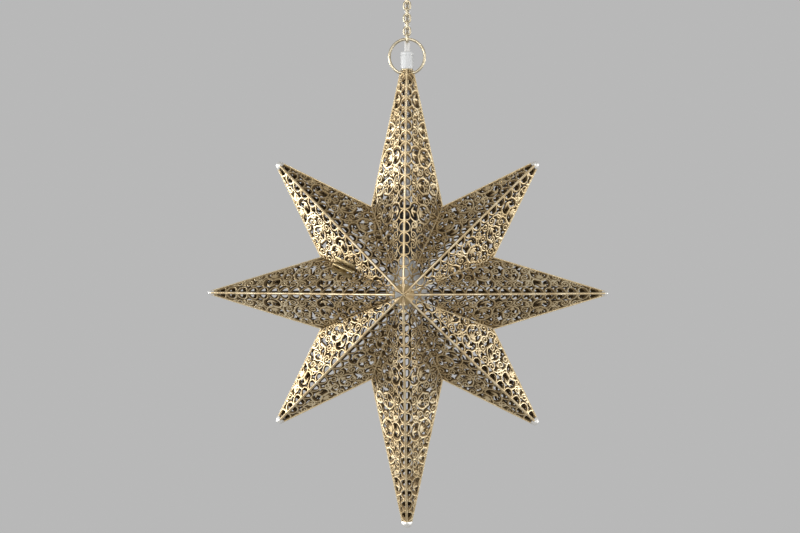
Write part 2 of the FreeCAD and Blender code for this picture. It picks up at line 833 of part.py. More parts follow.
bulb_top = base_bottom - contact_height - bulb_seat_gap
bulb_cap_top = bulb_top - bulb_tip_length
bulb_cap_bottom = bulb_cap_top - bulb_cap_length
bulb_cap_profile = [
    (0, bulb_top),
    (bulb_tip_radius, bulb_top),
    (bulb_tip_radius + bulb_tip_length, bulb_cap_top),
    (bulb_cap_radius, bulb_cap_top),
    (bulb_cap_radius, bulb_cap_bottom),
    (0, bulb_cap_bottom),
]
write("bulb_cap", turned(bulb_cap_profile, turned_sides))


def bulb_glass():
    """A round globe, drawn in to a neck that is cemented into the cap."""
    globe_height = bulb_cap_bottom - bulb_neck_to_globe
    profile = [(0, bulb_cap_bottom), (bulb_neck_radius, bulb_cap_bottom)]
    for step in range(globe_steps + 1):
        turn = globe_shoulder_turn - (globe_shoulder_turn + math.pi / 2) * step / globe_steps
        out = bulb_globe_radius * math.cos(turn) if step < globe_steps else 0
        profile.append((out, globe_height + bulb_globe_radius * math.sin(turn)))
    return turned(profile, turned_sides)


write("bulb_glass", bulb_glass())

print("the ceiling lies", round(ceiling_height, 2), "mm over the middle of the star")
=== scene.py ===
import math
import bpy
import bmesh
import numpy as np
from mathutils import Matrix, Vector
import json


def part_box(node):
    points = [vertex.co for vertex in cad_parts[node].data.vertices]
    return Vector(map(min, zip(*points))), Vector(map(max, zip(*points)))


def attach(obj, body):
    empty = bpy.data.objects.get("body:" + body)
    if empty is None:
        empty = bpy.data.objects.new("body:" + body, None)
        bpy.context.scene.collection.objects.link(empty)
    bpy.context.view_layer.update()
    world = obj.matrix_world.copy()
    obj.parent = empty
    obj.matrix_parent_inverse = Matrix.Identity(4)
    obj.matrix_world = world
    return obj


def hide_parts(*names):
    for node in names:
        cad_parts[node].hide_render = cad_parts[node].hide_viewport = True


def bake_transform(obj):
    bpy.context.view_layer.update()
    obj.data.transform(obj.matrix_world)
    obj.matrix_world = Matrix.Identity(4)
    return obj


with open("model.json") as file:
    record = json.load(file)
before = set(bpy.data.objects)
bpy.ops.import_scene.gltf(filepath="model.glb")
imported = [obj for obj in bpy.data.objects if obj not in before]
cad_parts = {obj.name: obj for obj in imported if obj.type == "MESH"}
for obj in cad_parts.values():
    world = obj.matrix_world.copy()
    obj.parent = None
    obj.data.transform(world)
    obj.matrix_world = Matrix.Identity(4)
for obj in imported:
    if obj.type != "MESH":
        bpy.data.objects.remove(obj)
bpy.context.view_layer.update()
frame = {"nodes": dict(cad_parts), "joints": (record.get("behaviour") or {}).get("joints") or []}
up, right, back = Vector((0, 0, 1)), Vector((1, 0, 0)), Vector((0, 1, 0))

# the star's middle, from the frame: everything on the star is drawn about this point, in metres
rightRayLow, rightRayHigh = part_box("front_ray_right")
starHeight = (rightRayLow.z + rightRayHigh.z) / 2
starMiddle = up * starHeight

star = {
    "halfDepth": 0.075,
    "notchReach": 0.103,
    "pivotHeight": 0.2422,
    "sheet": 0.0008,
    "wireHole": 0.0018,  # radius of the ring's hole in the neck
    "doorGap": 0.0005,
    "doorTrim": 0.009,  # how far the door's sheet stays clear of the star's front point
}
rayShapes = {  # where a ray's outlines would meet, and where it is cut off
    "wide": (0.224, 0.217),
    "diagonal": (0.210, 0.1995),
    "tall": (0.277, 0.255),
    "neck": (0.277, 0.245),
}
rayNames = ["right", "upper_right", "top", "upper_left", "left", "lower_left", "bottom", "lower_right"]
sector = 2 * math.pi / len(rayNames)
frontPoint = Vector((0, -star["halfDepth"], 0))


def inPlane(turn, reach):
    # a point of the star's middle plane
    return Vector((math.cos(turn), 0, math.sin(turn))) * reach


def rayOutline(reach, end):
    # a ray's outline, from the notch to where the ray is cut off
    notch = inPlane(sector / 2, star["notchReach"])
    return notch, notch.lerp(right * reach, (end - notch.x) / (reach - notch.x))


view = {
    "azimuth": math.radians(3.4),
    "elevation": math.radians(0.8),
    "distance": 2.3,
    "frameWidth": 0.880,  # what the picture spans at the star
    "aimRight": -0.0077,
    "aimUp": 0.0292,
    "sensor": 36.0,
    "nearest": 0.05,
}


def addAimed(data, heading, distance, aim):
    # a camera or lamp that looks at the aim from a distance
    piece = bpy.data.objects.new(data.name, data)
    bpy.context.scene.collection.objects.link(piece)
    piece.location = aim + heading * distance
    piece.rotation_mode = "QUATERNION"
    piece.rotation_quaternion = (-heading).to_track_quat("-Z", "Y")
    return piece


def addCamera():
    azimuth, elevation = view["azimuth"], view["elevation"]
    flat = math.cos(elevation)
    heading = Vector((math.sin(azimuth) * flat, -math.cos(azimuth) * flat, math.sin(elevation)))
    sideways = Vector((math.cos(azimuth), math.sin(azimuth), 0))
    aim = starMiddle + sideways * view["aimRight"] + heading.cross(sideways) * view["aimUp"]
    data = bpy.data.cameras.new("camera")
    data.sensor_width = view["sensor"]
    data.lens = view["sensor"] * view["distance"] / view["frameWidth"]
    data.clip_start = view["nearest"]
    bpy.context.scene.camera = addAimed(data, heading, view["distance"], aim)


addCamera()
print("camera placed")


def feed(tree, node, inputs):
    # gives each input a value, or the socket or the node whose first output feeds it
    for name, value in inputs.items():
        if isinstance(value, bpy.types.Node):
            value = next(socket for socket in value.outputs if socket.enabled)
        if isinstance(value, bpy.types.NodeSocket):
            tree.links.new(value, node.inputs[name])
        else:
            node.inputs[name].default_value = value


def addNode(tree, kind, place, inputs=None, **values):
    node = tree.nodes.new("ShaderNode" + kind)
    node.location = place
    for name, value in values.items():
        setattr(node, name, value)
    feed(tree, node, inputs or {})
    return node


def mixColour(tree, place, factor, a, b):
    return addNode(tree, "Mix", place, {"Factor": factor, "A": a, "B": b}, data_type="RGBA", blend_type="MIX")


def newGroup(name, inputs, outputs):
    group = bpy.data.node_groups.new(name, "ShaderNodeTree")
    for socketName, value in inputs.items():
        kind = "NodeSocketColor" if isinstance(value, tuple) else "NodeSocketFloat"
        group.interface.new_socket(socketName, in_out="INPUT", socket_type=kind).default_value = value
    for socketName, kind in outputs.items():
        group.interface.new_socket(socketName, in_out="OUTPUT", socket_type="NodeSocket" + kind)
    start, end = group.nodes.new("NodeGroupInput"), group.nodes.new("NodeGroupOutput")
    start.location, end.location = (-900, 0), (600, 0)
    return group, start.outputs, end


def makeAgedMetal():
    # patina in the hollows, cloudy tarnish over all, bare metal on the crests; where a mesh gives each point its
    # own crest value, the bright crests are partly polish and partly a painted highlight
    group, given, end = newGroup("agedMetal", {
        "Bare": (0.8, 0.66, 0.42, 1), "Metal": (0.6, 0.44, 0.22, 1), "Patina": (0.16, 0.1, 0.05, 1), "Crest": 1.0,
        "Cloud Scale": 60.0, "Cloud Amount": 0.4, "Smooth": 0.25, "Rough": 0.5,
    }, {"Color": "Color", "Roughness": "Float", "Height": "Float"})
    half = 0.55  # below it patina turns to metal, above it metal to bare metal
    place = addNode(group, "TexCoord", (-900, -300)).outputs["Object"]
    cloud = addNode(group, "TexNoise", (-680, -200), {"Vector": place, "Scale": given["Cloud Scale"], "Detail": 6})
    fine = addNode(group, "TexNoise", (-680, -450), {"Vector": place, "Scale": 900, "Detail": 3})
    mask = addNode(group, "MapRange", (-460, -200), {"Value": cloud, "From Min": 0.35, "From Max": 0.7})
    dull = addNode(group, "Math", (-260, -200), {0: mask, 1: given["Cloud Amount"]}, operation="MULTIPLY")
    # the crest less the tarnish: worn bare metal, and a painted highlight where the crest value varies over a mesh
    wearAndHighlight = addNode(group, "Math", (-260, 50), {0: given["Crest"], 1: dull}, operation="SUBTRACT", use_clamp=True)
    low = addNode(group, "MapRange", (-60, 200), {"Value": wearAndHighlight, "From Max": half})
    high = addNode(group, "MapRange", (-60, -50), {"Value": wearAndHighlight, "From Min": half})
    hollow = mixColour(group, (140, 200), low, given["Patina"], given["Metal"])
    crest = mixColour(group, (330, 100), high, hollow, given["Bare"])
    shine = {"Value": wearAndHighlight, "To Min": given["Rough"], "To Max": given["Smooth"]}
    feed(group, end, {"Color": crest, "Roughness": addNode(group, "MapRange", (140, -250), shine), "Height": fine})
    return group


agedMetal = makeAgedMetal()


def newMaterial(name):
    material = bpy.data.materials.new(name)
    material.use_nodes = True
    return material, material.node_tree, material.node_tree.nodes["Principled BSDF"]


def metalMaterial(name, look):
    material, tree, shader = newMaterial(name)
    # without a crest value, each point of the mesh has its own
    crest = look.get("crest") or addNode(tree, "Attribute", (-520, 200), attribute_name="crest").outputs["Fac"]
    aged = addNode(tree, "Group", (-300, 200), {
        "Bare": (*look["bare"], 1), "Metal": (*look["metal"], 1), "Patina": (*look["patina"], 1), "Crest": crest,
        "Cloud Scale": look["cloudScale"], "Cloud Amount": look["cloudAmount"],
        "Smooth": look["smooth"], "Rough": look["rough"],
    }, node_tree=agedMetal)
    grain = {"Strength": look["grain"], "Distance": 0.0002, "Height": aged.outputs["Height"]}
    feed(tree, shader, {
        "Base Color": aged.outputs["Color"], "Roughness": aged.outputs["Roughness"], "Metallic": 1.0,
        "Normal": addNode(tree, "Bump", (-150, -200), grain),
    })
    return material


# on the pierced sheet the middle of each stroke takes the bare colour, partly polish and partly a painted
# highlight, and its cut edges take the patina
piercedBrass = metalMaterial("piercedBrass", {
    "bare": (0.86, 0.745, 0.52),
    "metal": (0.52, 0.385, 0.20),
    "patina": (0.125, 0.085, 0.042),
    "cloudScale": 42.0, "cloudAmount": 0.40, "smooth": 0.28, "rough": 0.55, "grain": 0.12,
})
ridgeBrass = metalMaterial("ridgeBrass", {
    "bare": (0.86, 0.75, 0.54),
    "metal": (0.58, 0.455, 0.27),
    "patina": (0.24, 0.145, 0.065),
    "crest": 0.8, "cloudScale": 55.0, "cloudAmount": 0.5, "smooth": 0.3, "rough": 0.5, "grain": 0.1,
})


def addMeshObject(name, mesh, material):
    piece = bpy.data.objects.new(name, mesh)
    bpy.context.scene.collection.objects.link(piece)
    if not mesh.materials:
        mesh.materials.append(material)
    return piece


def addPiece(name, mesh, material, body, nodes=(), place=None):
    piece = addMeshObject(name, mesh, material)
    if place is not None:
        piece.matrix_world = place
    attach(piece, body)
    if nodes:
        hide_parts(*nodes)
    return piece


pattern = {
    "period": 0.064,
    "step": 0.0008,
    "border": 0.0017,
    "valleyBorder": 0.0010,
    "solidCorner": 0.0130,  # the sheet is not pierced this near to the star's front point
    "ridgeBand": 0.0022,
    "relief": 0.00028,  # how far the edge of a stroke lies under its crest
    "crestWidth": 0.0004,
    "leastShare": 0.03,  # an outline crosses a grid line no nearer to its ends than this share
    "insideCrest": 0.12,  # the inside of the sheet is painted darker, as painted shade, and is rougher
    "backShift": 0.0184,  # the back sheets start elsewhere in the pattern
    "swell": 0.00016,  # added all round each stroke
}


def strokePoint(middle, reach, turn, half, squash=1.0):
    return (middle[0] + reach * math.cos(turn), middle[1] + reach * squash * math.sin(turn), half)


def arcStroke(middle, radius, start, end, thickness, squash=1.0):
    # points (u, v, half thickness) along an arc, angles in degrees
    count = max(6, int(abs(end - start) / 12))
    turns = [math.radians(start + (end - start) * index / count) for index in range(count + 1)]
    return [strokePoint(middle, radius, turn, thickness / 2, squash) for turn in turns]


def volute(middle, radius, start, turns, thickness, core=0.22):
    # a curl that winds in to a round drop; negative turns wind clockwise
    count = max(10, int(abs(turns) * 26))
    points = []
    for share in (index / count for index in range(count + 1)):
        turn = math.radians(start) + 2 * math.pi * turns * share
        points.append(strokePoint(middle, radius * (1 - (1 - core) * share), turn, thickness / 2))
    return points + [(*points[-1][:2], thickness * 0.85)]


def leaf(root, heading, length, width):
    # a pointed leaf, widest a third of the way along
    outline = ((0, 0.35), (0.18, 0.75), (0.36, 1.0), (0.6, 0.8), (0.82, 0.45), (1, 0.12))
    turn = math.radians(heading)
    return [strokePoint(root, length * share, turn, width / 2 * swell) for share, swell in outline]


def bowStroke(start, end, bulge, thickness, count=12):
    # a stroke that bows to the left of its run by the bulge
    points = []
    run = (end[0] - start[0], end[1] - start[1])
    length = math.hypot(*run)
    for share in (index / count for index in range(count + 1)):
        out = 4 * bulge * share * (1 - share)
        u = start[0] + run[0] * share - run[1] / length * out
        v = start[1] + run[1] * share + run[0] / length * out
        points.append((u, v, thickness / 2))
    return points


def halfPeriodStrokes():
    # the scrollwork between two of the pattern's mirror lines, in millimetres
    bold, fine, archPitch = 1.9, 1.5, 12.8
    return [arcStroke((archPitch * index, 2.2), 5.7, 0, 180, fine, 1.28) for index in range(3)] + [
        # a pair of curls over the first mirror line, under a heart of two wide scrolls
        volute((5.3, 14.6), 5.3, 215, -1.55, fine),
        bowStroke((0.6, 19.6), (6.5, 37.5), -5.2, bold),
        volute((4.9, 34.2), 4.4, 60, 1.3, fine),
        leaf((0, 20.5), 90, 8.5, 3.0), leaf((0, 21.5), 56, 6.5, 2.2), leaf((0, 28.5), 62, 4.2, 1.8),
        # the scroll that runs from the curls to the next mirror line
        bowStroke((9.3, 11.2), (17.8, 21.2), -2.6, bold),
        volute((17.2, 15.2), 4.6, 20, 1.45, fine),
        volute((14.6, 24.8), 4.5, 300, -1.35, fine),
        leaf((12.6, 19.4), 150, 5.0, 2.0),
        # the trefoil and its heart on the second mirror line
        leaf((32, 10.4), 90, 9.4, 3.2), leaf((32, 10.8), 142, 7.6, 2.6),
        bowStroke((25.9, 9.2), (22.0, 20.4), 2.2, bold),
        bowStroke((22.0, 20.4), (31.8, 20.2), 3.1, fine),
        # a ring with a palmette in it, further out
        arcStroke((32, 31.0), 10.4, 88, 272, bold),
        leaf((32, 23.4), 90, 11.5, 2.3), leaf((32, 23.4), 118, 9.2, 2.3), leaf((32, 23.4), 146, 7.0, 2.3),
        volute((27.6, 35.4), 3.4, 80, 1.2, fine),
        # curls that fill the wide part by the valley
        volute((16.8, 35.2), 5.0, 250, 1.5, fine),
        bowStroke((19.4, 20.5), (20.6, 31.0), -1.4, fine),
        leaf((11.4, 29.8), 215, 4.4, 2.0),
        arcStroke((0, 46.2), 6.6, -90, 90, bold),
        volute((3.0, 45.4), 3.3, 100, -1.2, fine),
        volute((12.6, 46.0), 5.3, 270, 1.5, fine),
        volute((24.0, 46.2), 5.2, 190, -1.5, fine),
        bowStroke((17.2, 40.0), (19.0, 48.5), 1.2, fine),
        leaf((32, 41.2), 90, 9.0, 3.0),
        bowStroke((29.0, 43.0), (32, 54.0), 1.6, fine),
        bowStroke((0, 52.6), (17.0, 52.0), -1.5, bold),
        bowStroke((17.0, 52.0), (32, 54.0), 1.5, bold),
        volute((6.4, 58.0), 4.6, 240, 1.4, fine),
        volute((17.6, 57.6), 4.6, 100, -1.4, fine),
        volute((28.2, 59.4), 4.4, 200, -1.4, fine),
    ]


def patternTile():
    # how far each point of one period lies inside the metal, on a grid of steps
    step, period, depth = pattern["step"] * 1000, pattern["period"] * 1000, 66
    gridU, gridV = np.meshgrid(
        np.arange(int(round(period / step))) * step, np.arange(int(depth / step)) * step, indexing="ij")
    inside = np.full(gridU.shape, -9.0)
    for stroke in halfPeriodStrokes():
        for mirror in (1, -1):
            for shift in (-period, 0, period):
                moved = np.array(stroke)
                moved[:, 0] = moved[:, 0] * mirror + shift
                reach = moved[:, 2].max() + 2
                if moved[:, 0].max() < -reach or moved[:, 0].min() > period + reach:
                    continue
                for a, b in zip(moved[:-1], moved[1:]):
                    run = b[:2] - a[:2]
                    length = max(float(run @ run), 1e-9)
                    share = np.clip(((gridU - a[0]) * run[0] + (gridV - a[1]) * run[1]) / length, 0, 1)
                    away = np.hypot(gridU - a[0] - run[0] * share, gridV - a[1] - run[1] * share)
                    np.maximum(inside, a[2] + (b[2] - a[2]) * share - away, out=inside)
    return inside / 1000 + pattern["swell"]


tile = patternTile()
print("pattern drawn")


def shapeOfFacet(reach, end):
    # apex, directions and lengths of the upper facet of a ray along X, about the star's middle
    notch, outlineEnd = rayOutline(reach, end)
    ridgeEnd = frontPoint.lerp(right * reach, end / reach)
    along = (ridgeEnd - frontPoint).normalized()
    away = (notch - frontPoint) - along * (notch - frontPoint).dot(along)
    depth = away.length
    away.normalize()
    inward = along.cross(away)
    if inward.y < 0:
        inward = -inward
    return {
        "apex": frontPoint, "along": along, "away": away, "planeDistance": -frontPoint.dot(inward),
        "notch": ((notch - frontPoint).dot(along), depth),
        "ridgeEnd": (ridgeEnd - frontPoint).length,
        "outlineEnd": ((outlineEnd - frontPoint).dot(along), (outlineEnd - frontPoint).dot(away)),
    }


def sideDistance(u, v, a, b):
    # distance to the left of the line from a to b
    length = math.hypot(b[0] - a[0], b[1] - a[1])
    return ((b[0] - a[0]) * (v - a[1]) - (b[1] - a[1]) * (u - a[0])) / length


def keepJoined(inside, seed):
    # takes away scraps that nothing joins to the ridge
    metal = inside > 0
    joined = seed & metal
    while True:
        spread = joined.copy()
        spread[1:] |= joined[:-1]
        spread[:-1] |= joined[1:]
        spread[:, 1:] |= joined[:, :-1]
        spread[:, :-1] |= joined[:, 1:]
        spread &= metal
        if (spread == joined).all():
            break
        joined = spread
    justOutside = -0.0002
    return np.where(metal & ~joined, justOutside, inside)


def facetField(facet, shift=0, gap=0, cornerTrim=0, wireHole=0):
    # how far each point of a facet lies inside its metal; the gap is kept at the valley, outline and end
    step = pattern["step"]
    acrossCount = int(facet["ridgeEnd"] / step) + 3
    deepCount = int(facet["notch"][1] / step) + 3
    gridU, gridV = np.meshgrid(np.arange(acrossCount) * step, np.arange(deepCount) * step, indexing="ij")
    columns = (np.arange(acrossCount) + round(shift / step)) % tile.shape[0]
    strokes = tile[columns][:, np.minimum(np.arange(deepCount), tile.shape[1] - 1)]
    valley = sideDistance(gridU, gridV, facet["notch"], (0.0, 0.0)) - gap
    outline = sideDistance(gridU, gridV, facet["outlineEnd"], facet["notch"]) - gap
    rim = np.minimum(outline, sideDistance(gridU, gridV, (facet["ridgeEnd"], 0), facet["outlineEnd"]) - gap)
    fromMiddle = gridU * facet["along"].x + gridV * facet["away"].x
    if cornerTrim:
        rim = np.minimum(rim, fromMiddle - cornerTrim)
    if wireHole:
        deep = facet["apex"].y + gridU * facet["along"].y + gridV * facet["away"].y
        rim = np.minimum(rim, np.hypot(fromMiddle - star["pivotHeight"], deep) - wireHole)
    domain = np.minimum(valley, rim)
    metal = np.maximum(strokes, np.maximum(pattern["border"] - rim, pattern["valleyBorder"] - valley))
    metal = np.maximum(metal, pattern["ridgeBand"] - gridV)
    metal = np.maximum(metal, pattern["solidCorner"] - gridU)
    return keepJoined(np.minimum(metal, domain), (gridV < pattern["ridgeBand"]) & (domain > 0))


# which corners (0 to 3) and edges (4 to 7) bound the metal in a cell, by which corners are inside
cellOutlines = {
    1: [(0, 4, 7)], 2: [(1, 5, 4)], 3: [(0, 1, 5, 7)], 4: [(2, 6, 5)], 5: [(0, 4, 5, 2, 6, 7)],
    6: [(1, 2, 6, 4)], 7: [(0, 1, 2, 6, 7)], 8: [(3, 7, 6)], 9: [(0, 4, 6, 3)],
    10: [(1, 5, 6, 3, 7, 4)], 11: [(0, 1, 5, 6, 3)], 12: [(3, 7, 5, 2)],
    13: [(0, 4, 5, 2, 3)], 14: [(1, 2, 3, 7, 4)], 15: [(0, 1, 2, 3)],
}


def panelMesh(name, kind, **options):
    # a ray's folded and pierced sheet, drawn along X
    facet = shapeOfFacet(*rayShapes[kind])
    inside = facetField(facet, **options)
    metal = inside > 0
    step = pattern["step"]
    gridU, gridV = np.meshgrid(np.arange(inside.shape[0]), np.arange(inside.shape[1]), indexing="ij")
    # the vertices: grid points in the metal, then where its outline crosses the grid's lines
    places, levels = [], []
    total = 0

    def number(mask, u, v, level):
        nonlocal total
        index = np.full(mask.shape, -1)
        index[mask] = np.arange(mask.sum()) + total
        total += int(mask.sum())
        places.append(np.stack([u[mask] * step, v[mask] * step], axis=1))
        levels.append(level[mask])
        return index

    def crossing(before, after):
        share = before / np.where(before == after, 1, before - after)
        return np.clip(share, pattern["leastShare"], 1 - pattern["leastShare"])

    corner = number(metal, gridU, gridV, inside)
    alongU = gridU[:-1] + crossing(inside[:-1], inside[1:])
    alongV = gridV[:, :-1] + crossing(inside[:, :-1], inside[:, 1:])
    crossU = number(metal[:-1] != metal[1:], alongU, gridV[:-1], inside[:-1] * 0)
    crossV = number(metal[:, :-1] != metal[:, 1:], gridU[:, :-1], alongV, inside[:, :-1] * 0)
    cells = np.stack([
        corner[:-1, :-1], corner[1:, :-1], corner[1:, 1:], corner[:-1, 1:],
        crossU[:, :-1], crossV[1:], crossU[:, 1:], crossV[:-1],
    ], axis=-1)
    cases = metal[:-1, :-1] + 2 * metal[1:, :-1] + 4 * metal[1:, 1:] + 8 * metal[:-1, 1:]
    tops, walls = [], []
    for case, outlines in cellOutlines.items():
        chosen = cells[cases == case]
        for outline in outlines:
            tops.append(chosen[:, outline])
            for a, b in zip(outline, outline[1:] + outline[:1]):
                if a > 3 and b > 3:
                    walls.append(chosen[:, (b, a)])
    # where each vertex is, for the outside and for the inside of the sheet
    place = np.concatenate(places)
    level = np.concatenate(levels)
    # bright at the middle of each stroke: partly polish and partly a painted highlight
    crest = np.clip(level / pattern["crestWidth"], 0, 1)
    apex, along, away = (np.array(facet[key]) for key in ("apex", "along", "away"))
    plane = apex + place[:, :1] * along + place[:, 1:] * away
    outside = plane * (1 - pattern["relief"] * (1 - crest[:, None]) ** 2 / facet["planeDistance"])
    inner = plane * (1 - star["sheet"] / facet["planeDistance"])
    # the lower facet mirrors the upper one and shares its vertices on the fold
    onFold = place[:, 1] == 0
    free = int((~onFold).sum())
    lower = np.where(onFold, np.arange(total), 0)
    lower[~onFold] = np.arange(free) + total
    flip = np.array([1, 1, -1])
    points = np.concatenate([outside, outside[~onFold] * flip, inner, inner[~onFold] * flip])
    # the inside of the sheet takes a low crest value: painted shade inside the star
    crests = np.concatenate([crest, crest[~onFold], np.full(total + free, pattern["insideCrest"])])
    under = total + free
    faces = []
    for top in tops:
        faces += [top, lower[top][:, ::-1], top[:, ::-1] + under, lower[top] + under]
    wallStart = sum(len(face) for face in faces)
    for wall in walls:
        mirrored = lower[wall]
        faces.append(np.concatenate([wall, wall[:, ::-1] + under], axis=1))
        faces.append(np.concatenate([mirrored[:, ::-1], mirrored + under], axis=1))
    mesh = bpy.data.meshes.new(name)
    sizes = np.concatenate([np.full(len(face), face.shape[1]) for face in faces])
    corners = np.concatenate([face.ravel() for face in faces])
    mesh.vertices.add(len(points))
    mesh.vertices.foreach_set("co", points.astype(np.float32).ravel())
    mesh.loops.add(len(corners))
    mesh.loops.foreach_set("vertex_index", corners.astype(np.int32))
    mesh.polygons.add(len(sizes))
    mesh.polygons.foreach_set("loop_start", (np.cumsum(sizes) - sizes).astype(np.int32))
    mesh.update(calc_edges=True)
    mesh.shade_smooth()
    # the cut edges stay crisp
    edgeOfLoop = np.empty(len(corners), np.int32)
    mesh.loops.foreach_get("edge_index", edgeOfLoop)
    loopIsWall = np.repeat(np.arange(len(sizes)) >= wallStart, sizes)
    wallUses = np.bincount(edgeOfLoop[loopIsWall], minlength=len(mesh.edges))
    otherUses = np.bincount(edgeOfLoop[~loopIsWall], minlength=len(mesh.edges))
    sharp = mesh.attributes.new("sharp_edge", "BOOLEAN", "EDGE")
    sharp.data.foreach_set("value", (wallUses > 0) & (otherUses > 0))
    mesh.attributes.new("crest", "FLOAT", "POINT").data.foreach_set("value", crests.astype(np.float32))
    mesh.materials.append(piercedBrass)
    return mesh


panelMeshes = {
    side + kind: panelMesh(kind + "Panel", kind, shift=shift, wireHole=star["wireHole"] if kind == "neck" else 0)
    for side, shift in (("front_", 0), ("back_", pattern["backShift"]))
    for kind in rayShapes
}
panelMeshes["door"] = panelMesh("doorPanel", "wide", gap=star["doorGap"], cornerTrim=star["doorTrim"])
print("panels:", {key: len(mesh.polygons) for key, mesh in panelMeshes.items()})


def rayKind(index):
    if index % 2:
        return "diagonal"
    if index % 4 == 0:
        return "wide"
    return "neck" if index == 2 else "tall"


def rayPlace(index, isBack):
    # from a ray drawn along X to its own place round the star
    half = Matrix.Rotation(math.pi, 4, right) if isBack else Matrix.Identity(4)
    return Matrix.Translation(starMiddle) @ Matrix.Rotation(-sector * index, 4, back) @ half


def addPanels():
    for index, name in enumerate(rayNames):
        for side, isBack in (("front_", False), ("back_", True)):
            isDoor = name == "left" and not isBack
            mesh = panelMeshes["door" if isDoor else side + rayKind(index)]
            body, node = "door" if isDoor else "star", side + "ray_" + name
            addPiece(side + "panel_" + name, mesh, piercedBrass, body, [node], rayPlace(index, isBack))


addPanels()
print("panels placed")


def roundedCorners(points, radius, steps=4, closed=True):
    # a path with each corner replaced by a short curve, no longer than the runs beside it allow
    smooth = []
    count = len(points)
    for index, point in enumerate(points):
        point = Vector(point)
        if not closed and index in (0, count - 1):
            smooth.append(point)
            continue
        before, after = Vector(points[index - 1]), Vector(points[(index + 1) % count])
        reach = min(radius, 0.45 * (point - before).length, 0.45 * (after - point).length)
        start = point + (before - point).normalized() * reach
        end = point + (after - point).normalized() * reach
        for step in range(steps + 1):
            share = step / steps
            smooth.append(start.lerp(point, share).lerp(point.lerp(end, share), share))
    return smooth


def bevelEdges(work, width, segments):
    bmesh.ops.bevel(work, geom=work.edges[:], offset=width, segments=segments, affect="EDGES", profile=0.5)


def writeMesh(mesh, work, sharpAngle):
    # puts the worked faces into the mesh, smooth but for its sharp edges
    bmesh.ops.recalc_face_normals(work, faces=work.faces)
    work.to_mesh(mesh)
    work.free()
    mesh.shade_smooth()
    mesh.set_sharp_from_angle(angle=math.radians(sharpAngle))
    return mesh


def meshFromFaces(name, points, faces, sharpAngle=38, across=None):
    mesh = bpy.data.meshes.new(name)
    mesh.from_pydata([tuple(point) for point in points], [], faces)
    if across:
        mesh.attributes.new("across", "FLOAT", "POINT").data.foreach_set("value", across)
    work = bmesh.new()
    work.from_mesh(mesh)
    bmesh.ops.remove_doubles(work, verts=work.verts, dist=1e-6)
    return writeMesh(mesh, work, sharpAngle)


def joinRings(here, there, size):
    # the faces between two rings of points
    corners = [((corner - 1) % size, corner) for corner in range(size)]
    return [(here + last, here + corner, there + corner, there + last) for last, corner in corners]


def ringMesh(name, points, size, closed=False, capped=(True, True), **options):
    # rings of so many points each, joined one to the next
    count = len(points) // size
    faces = []
    for index in range(count if closed else count - 1):
        faces += joinRings(index * size, (index + 1) % count * size, size)
    caps = [tuple(range(size)), tuple(range((count - 1) * size, count * size))]
    faces += [cap for cap, wanted in zip(caps, capped) if wanted and not closed]
    return meshFromFaces(name, points, faces, **options)


def turnedMesh(name, profile, rounding=0.0003, sides=64, flutes=None, sharpAngle=38):
    # a closed outline of (radius, height) points turned about the vertical axis, corners eased
    outline = roundedCorners([(radius, 0, height) for radius, height in profile], rounding)
    outline = [(max(point.x, 0), point.z) for point in outline]
    points, faces = [], []
    for radius, height in outline:
        fluted = flutes and flutes["low"] <= height <= flutes["high"] and radius > flutes["leastRadius"]
        for side in range(sides):
            turn = 2 * math.pi * (side + 0.5) / sides
            reach = radius
            if fluted:
                reach -= flutes["depth"] * (0.5 + 0.5 * math.cos(turn * flutes["count"]))
            points.append((reach * math.cos(turn), reach * math.sin(turn), height))
    for index in range(len(outline)):
        if outline[index][0] > 1e-7 or outline[index - 1][0] > 1e-7:
            faces += joinRings((index - 1) % len(outline) * sides, index * sides, sides)
    return meshFromFaces(name, points, faces, sharpAngle)


def addTurned(name, profile, material, body, nodes=(), place=None, **shape):
    return addPiece(name, turnedMesh(name, profile, **shape), material, body, nodes, place)


def sweptMesh(name, path, section, sideways=None, closed=False, sizes=None, steadyHeading=None):
    # a section of (across, out) points carried along a path; across stays along sideways if that is given,
    # sizes give the section's size at each point, and with a steady heading the sections stay parallel
    points, count, across = [], len(path), sideways
    for index, point in enumerate(path):
        before = path[index - 1] if closed or index else path[0]
        after = path[(index + 1) % count] if closed or index < count - 1 else path[-1]
        heading = steadyHeading or (Vector(after) - Vector(before)).normalized()
        if sideways is None:
            across = across or heading.orthogonal()
            across = (across - heading * across.dot(heading)).normalized()
        out = across.cross(heading).normalized()
        size = sizes[index] if sizes else 1
        for sideReach, outReach in section:
            points.append(Vector(point) + across * sideReach * size + out * outReach * size)
    widest = max(sideReach for sideReach, outReach in section)
    shares = [sideReach / widest for sideReach, outReach in section] * count
    return ringMesh(name, points, len(section), closed, across=shares)


def roundSection(radius, sides=16):
    turns = [2 * math.pi * side / sides for side in range(sides)]
    return [(radius * math.cos(turn), radius * math.sin(turn)) for turn in turns]


# strips over the ridges, seams in the valleys, rims and drops of solder at the tips
ridge = {
    "halfWidth": 0.00105,
    "rise": 0.0005,
    "depth": 0.0009,
    "start": 0.0006,
    "doorStart": 0.0098,
    "taperLength": 0.016,  # the strips narrow where they meet
    "startWidth": 0.35,
    "waver": 0.00006,
    "crestRound": 0.0018,
    "spacing": 0.004,
}
solderRun = {
    "rimRadius": 0.00055,
    "seamRadius": 0.0005,
    "seamStart": 0.015,  # share of the valley, from the notch
    "seamLength": 0.955,
    "patchRough": 1.9,
    "waver": 0.00012,
    "patchWaver": 0.0005,
    "patchStart": 55,  # of the seam's 120 steps
}
bead = {
    "spread": 1.55,  # over the ray's open end
    "flare": 0.1,
    "sunk": 0.0034,
    "length": 0.0068,
    "roundSize": 0.86,
    "blunt": 0.75,  # under 1 makes the tip blunter
}


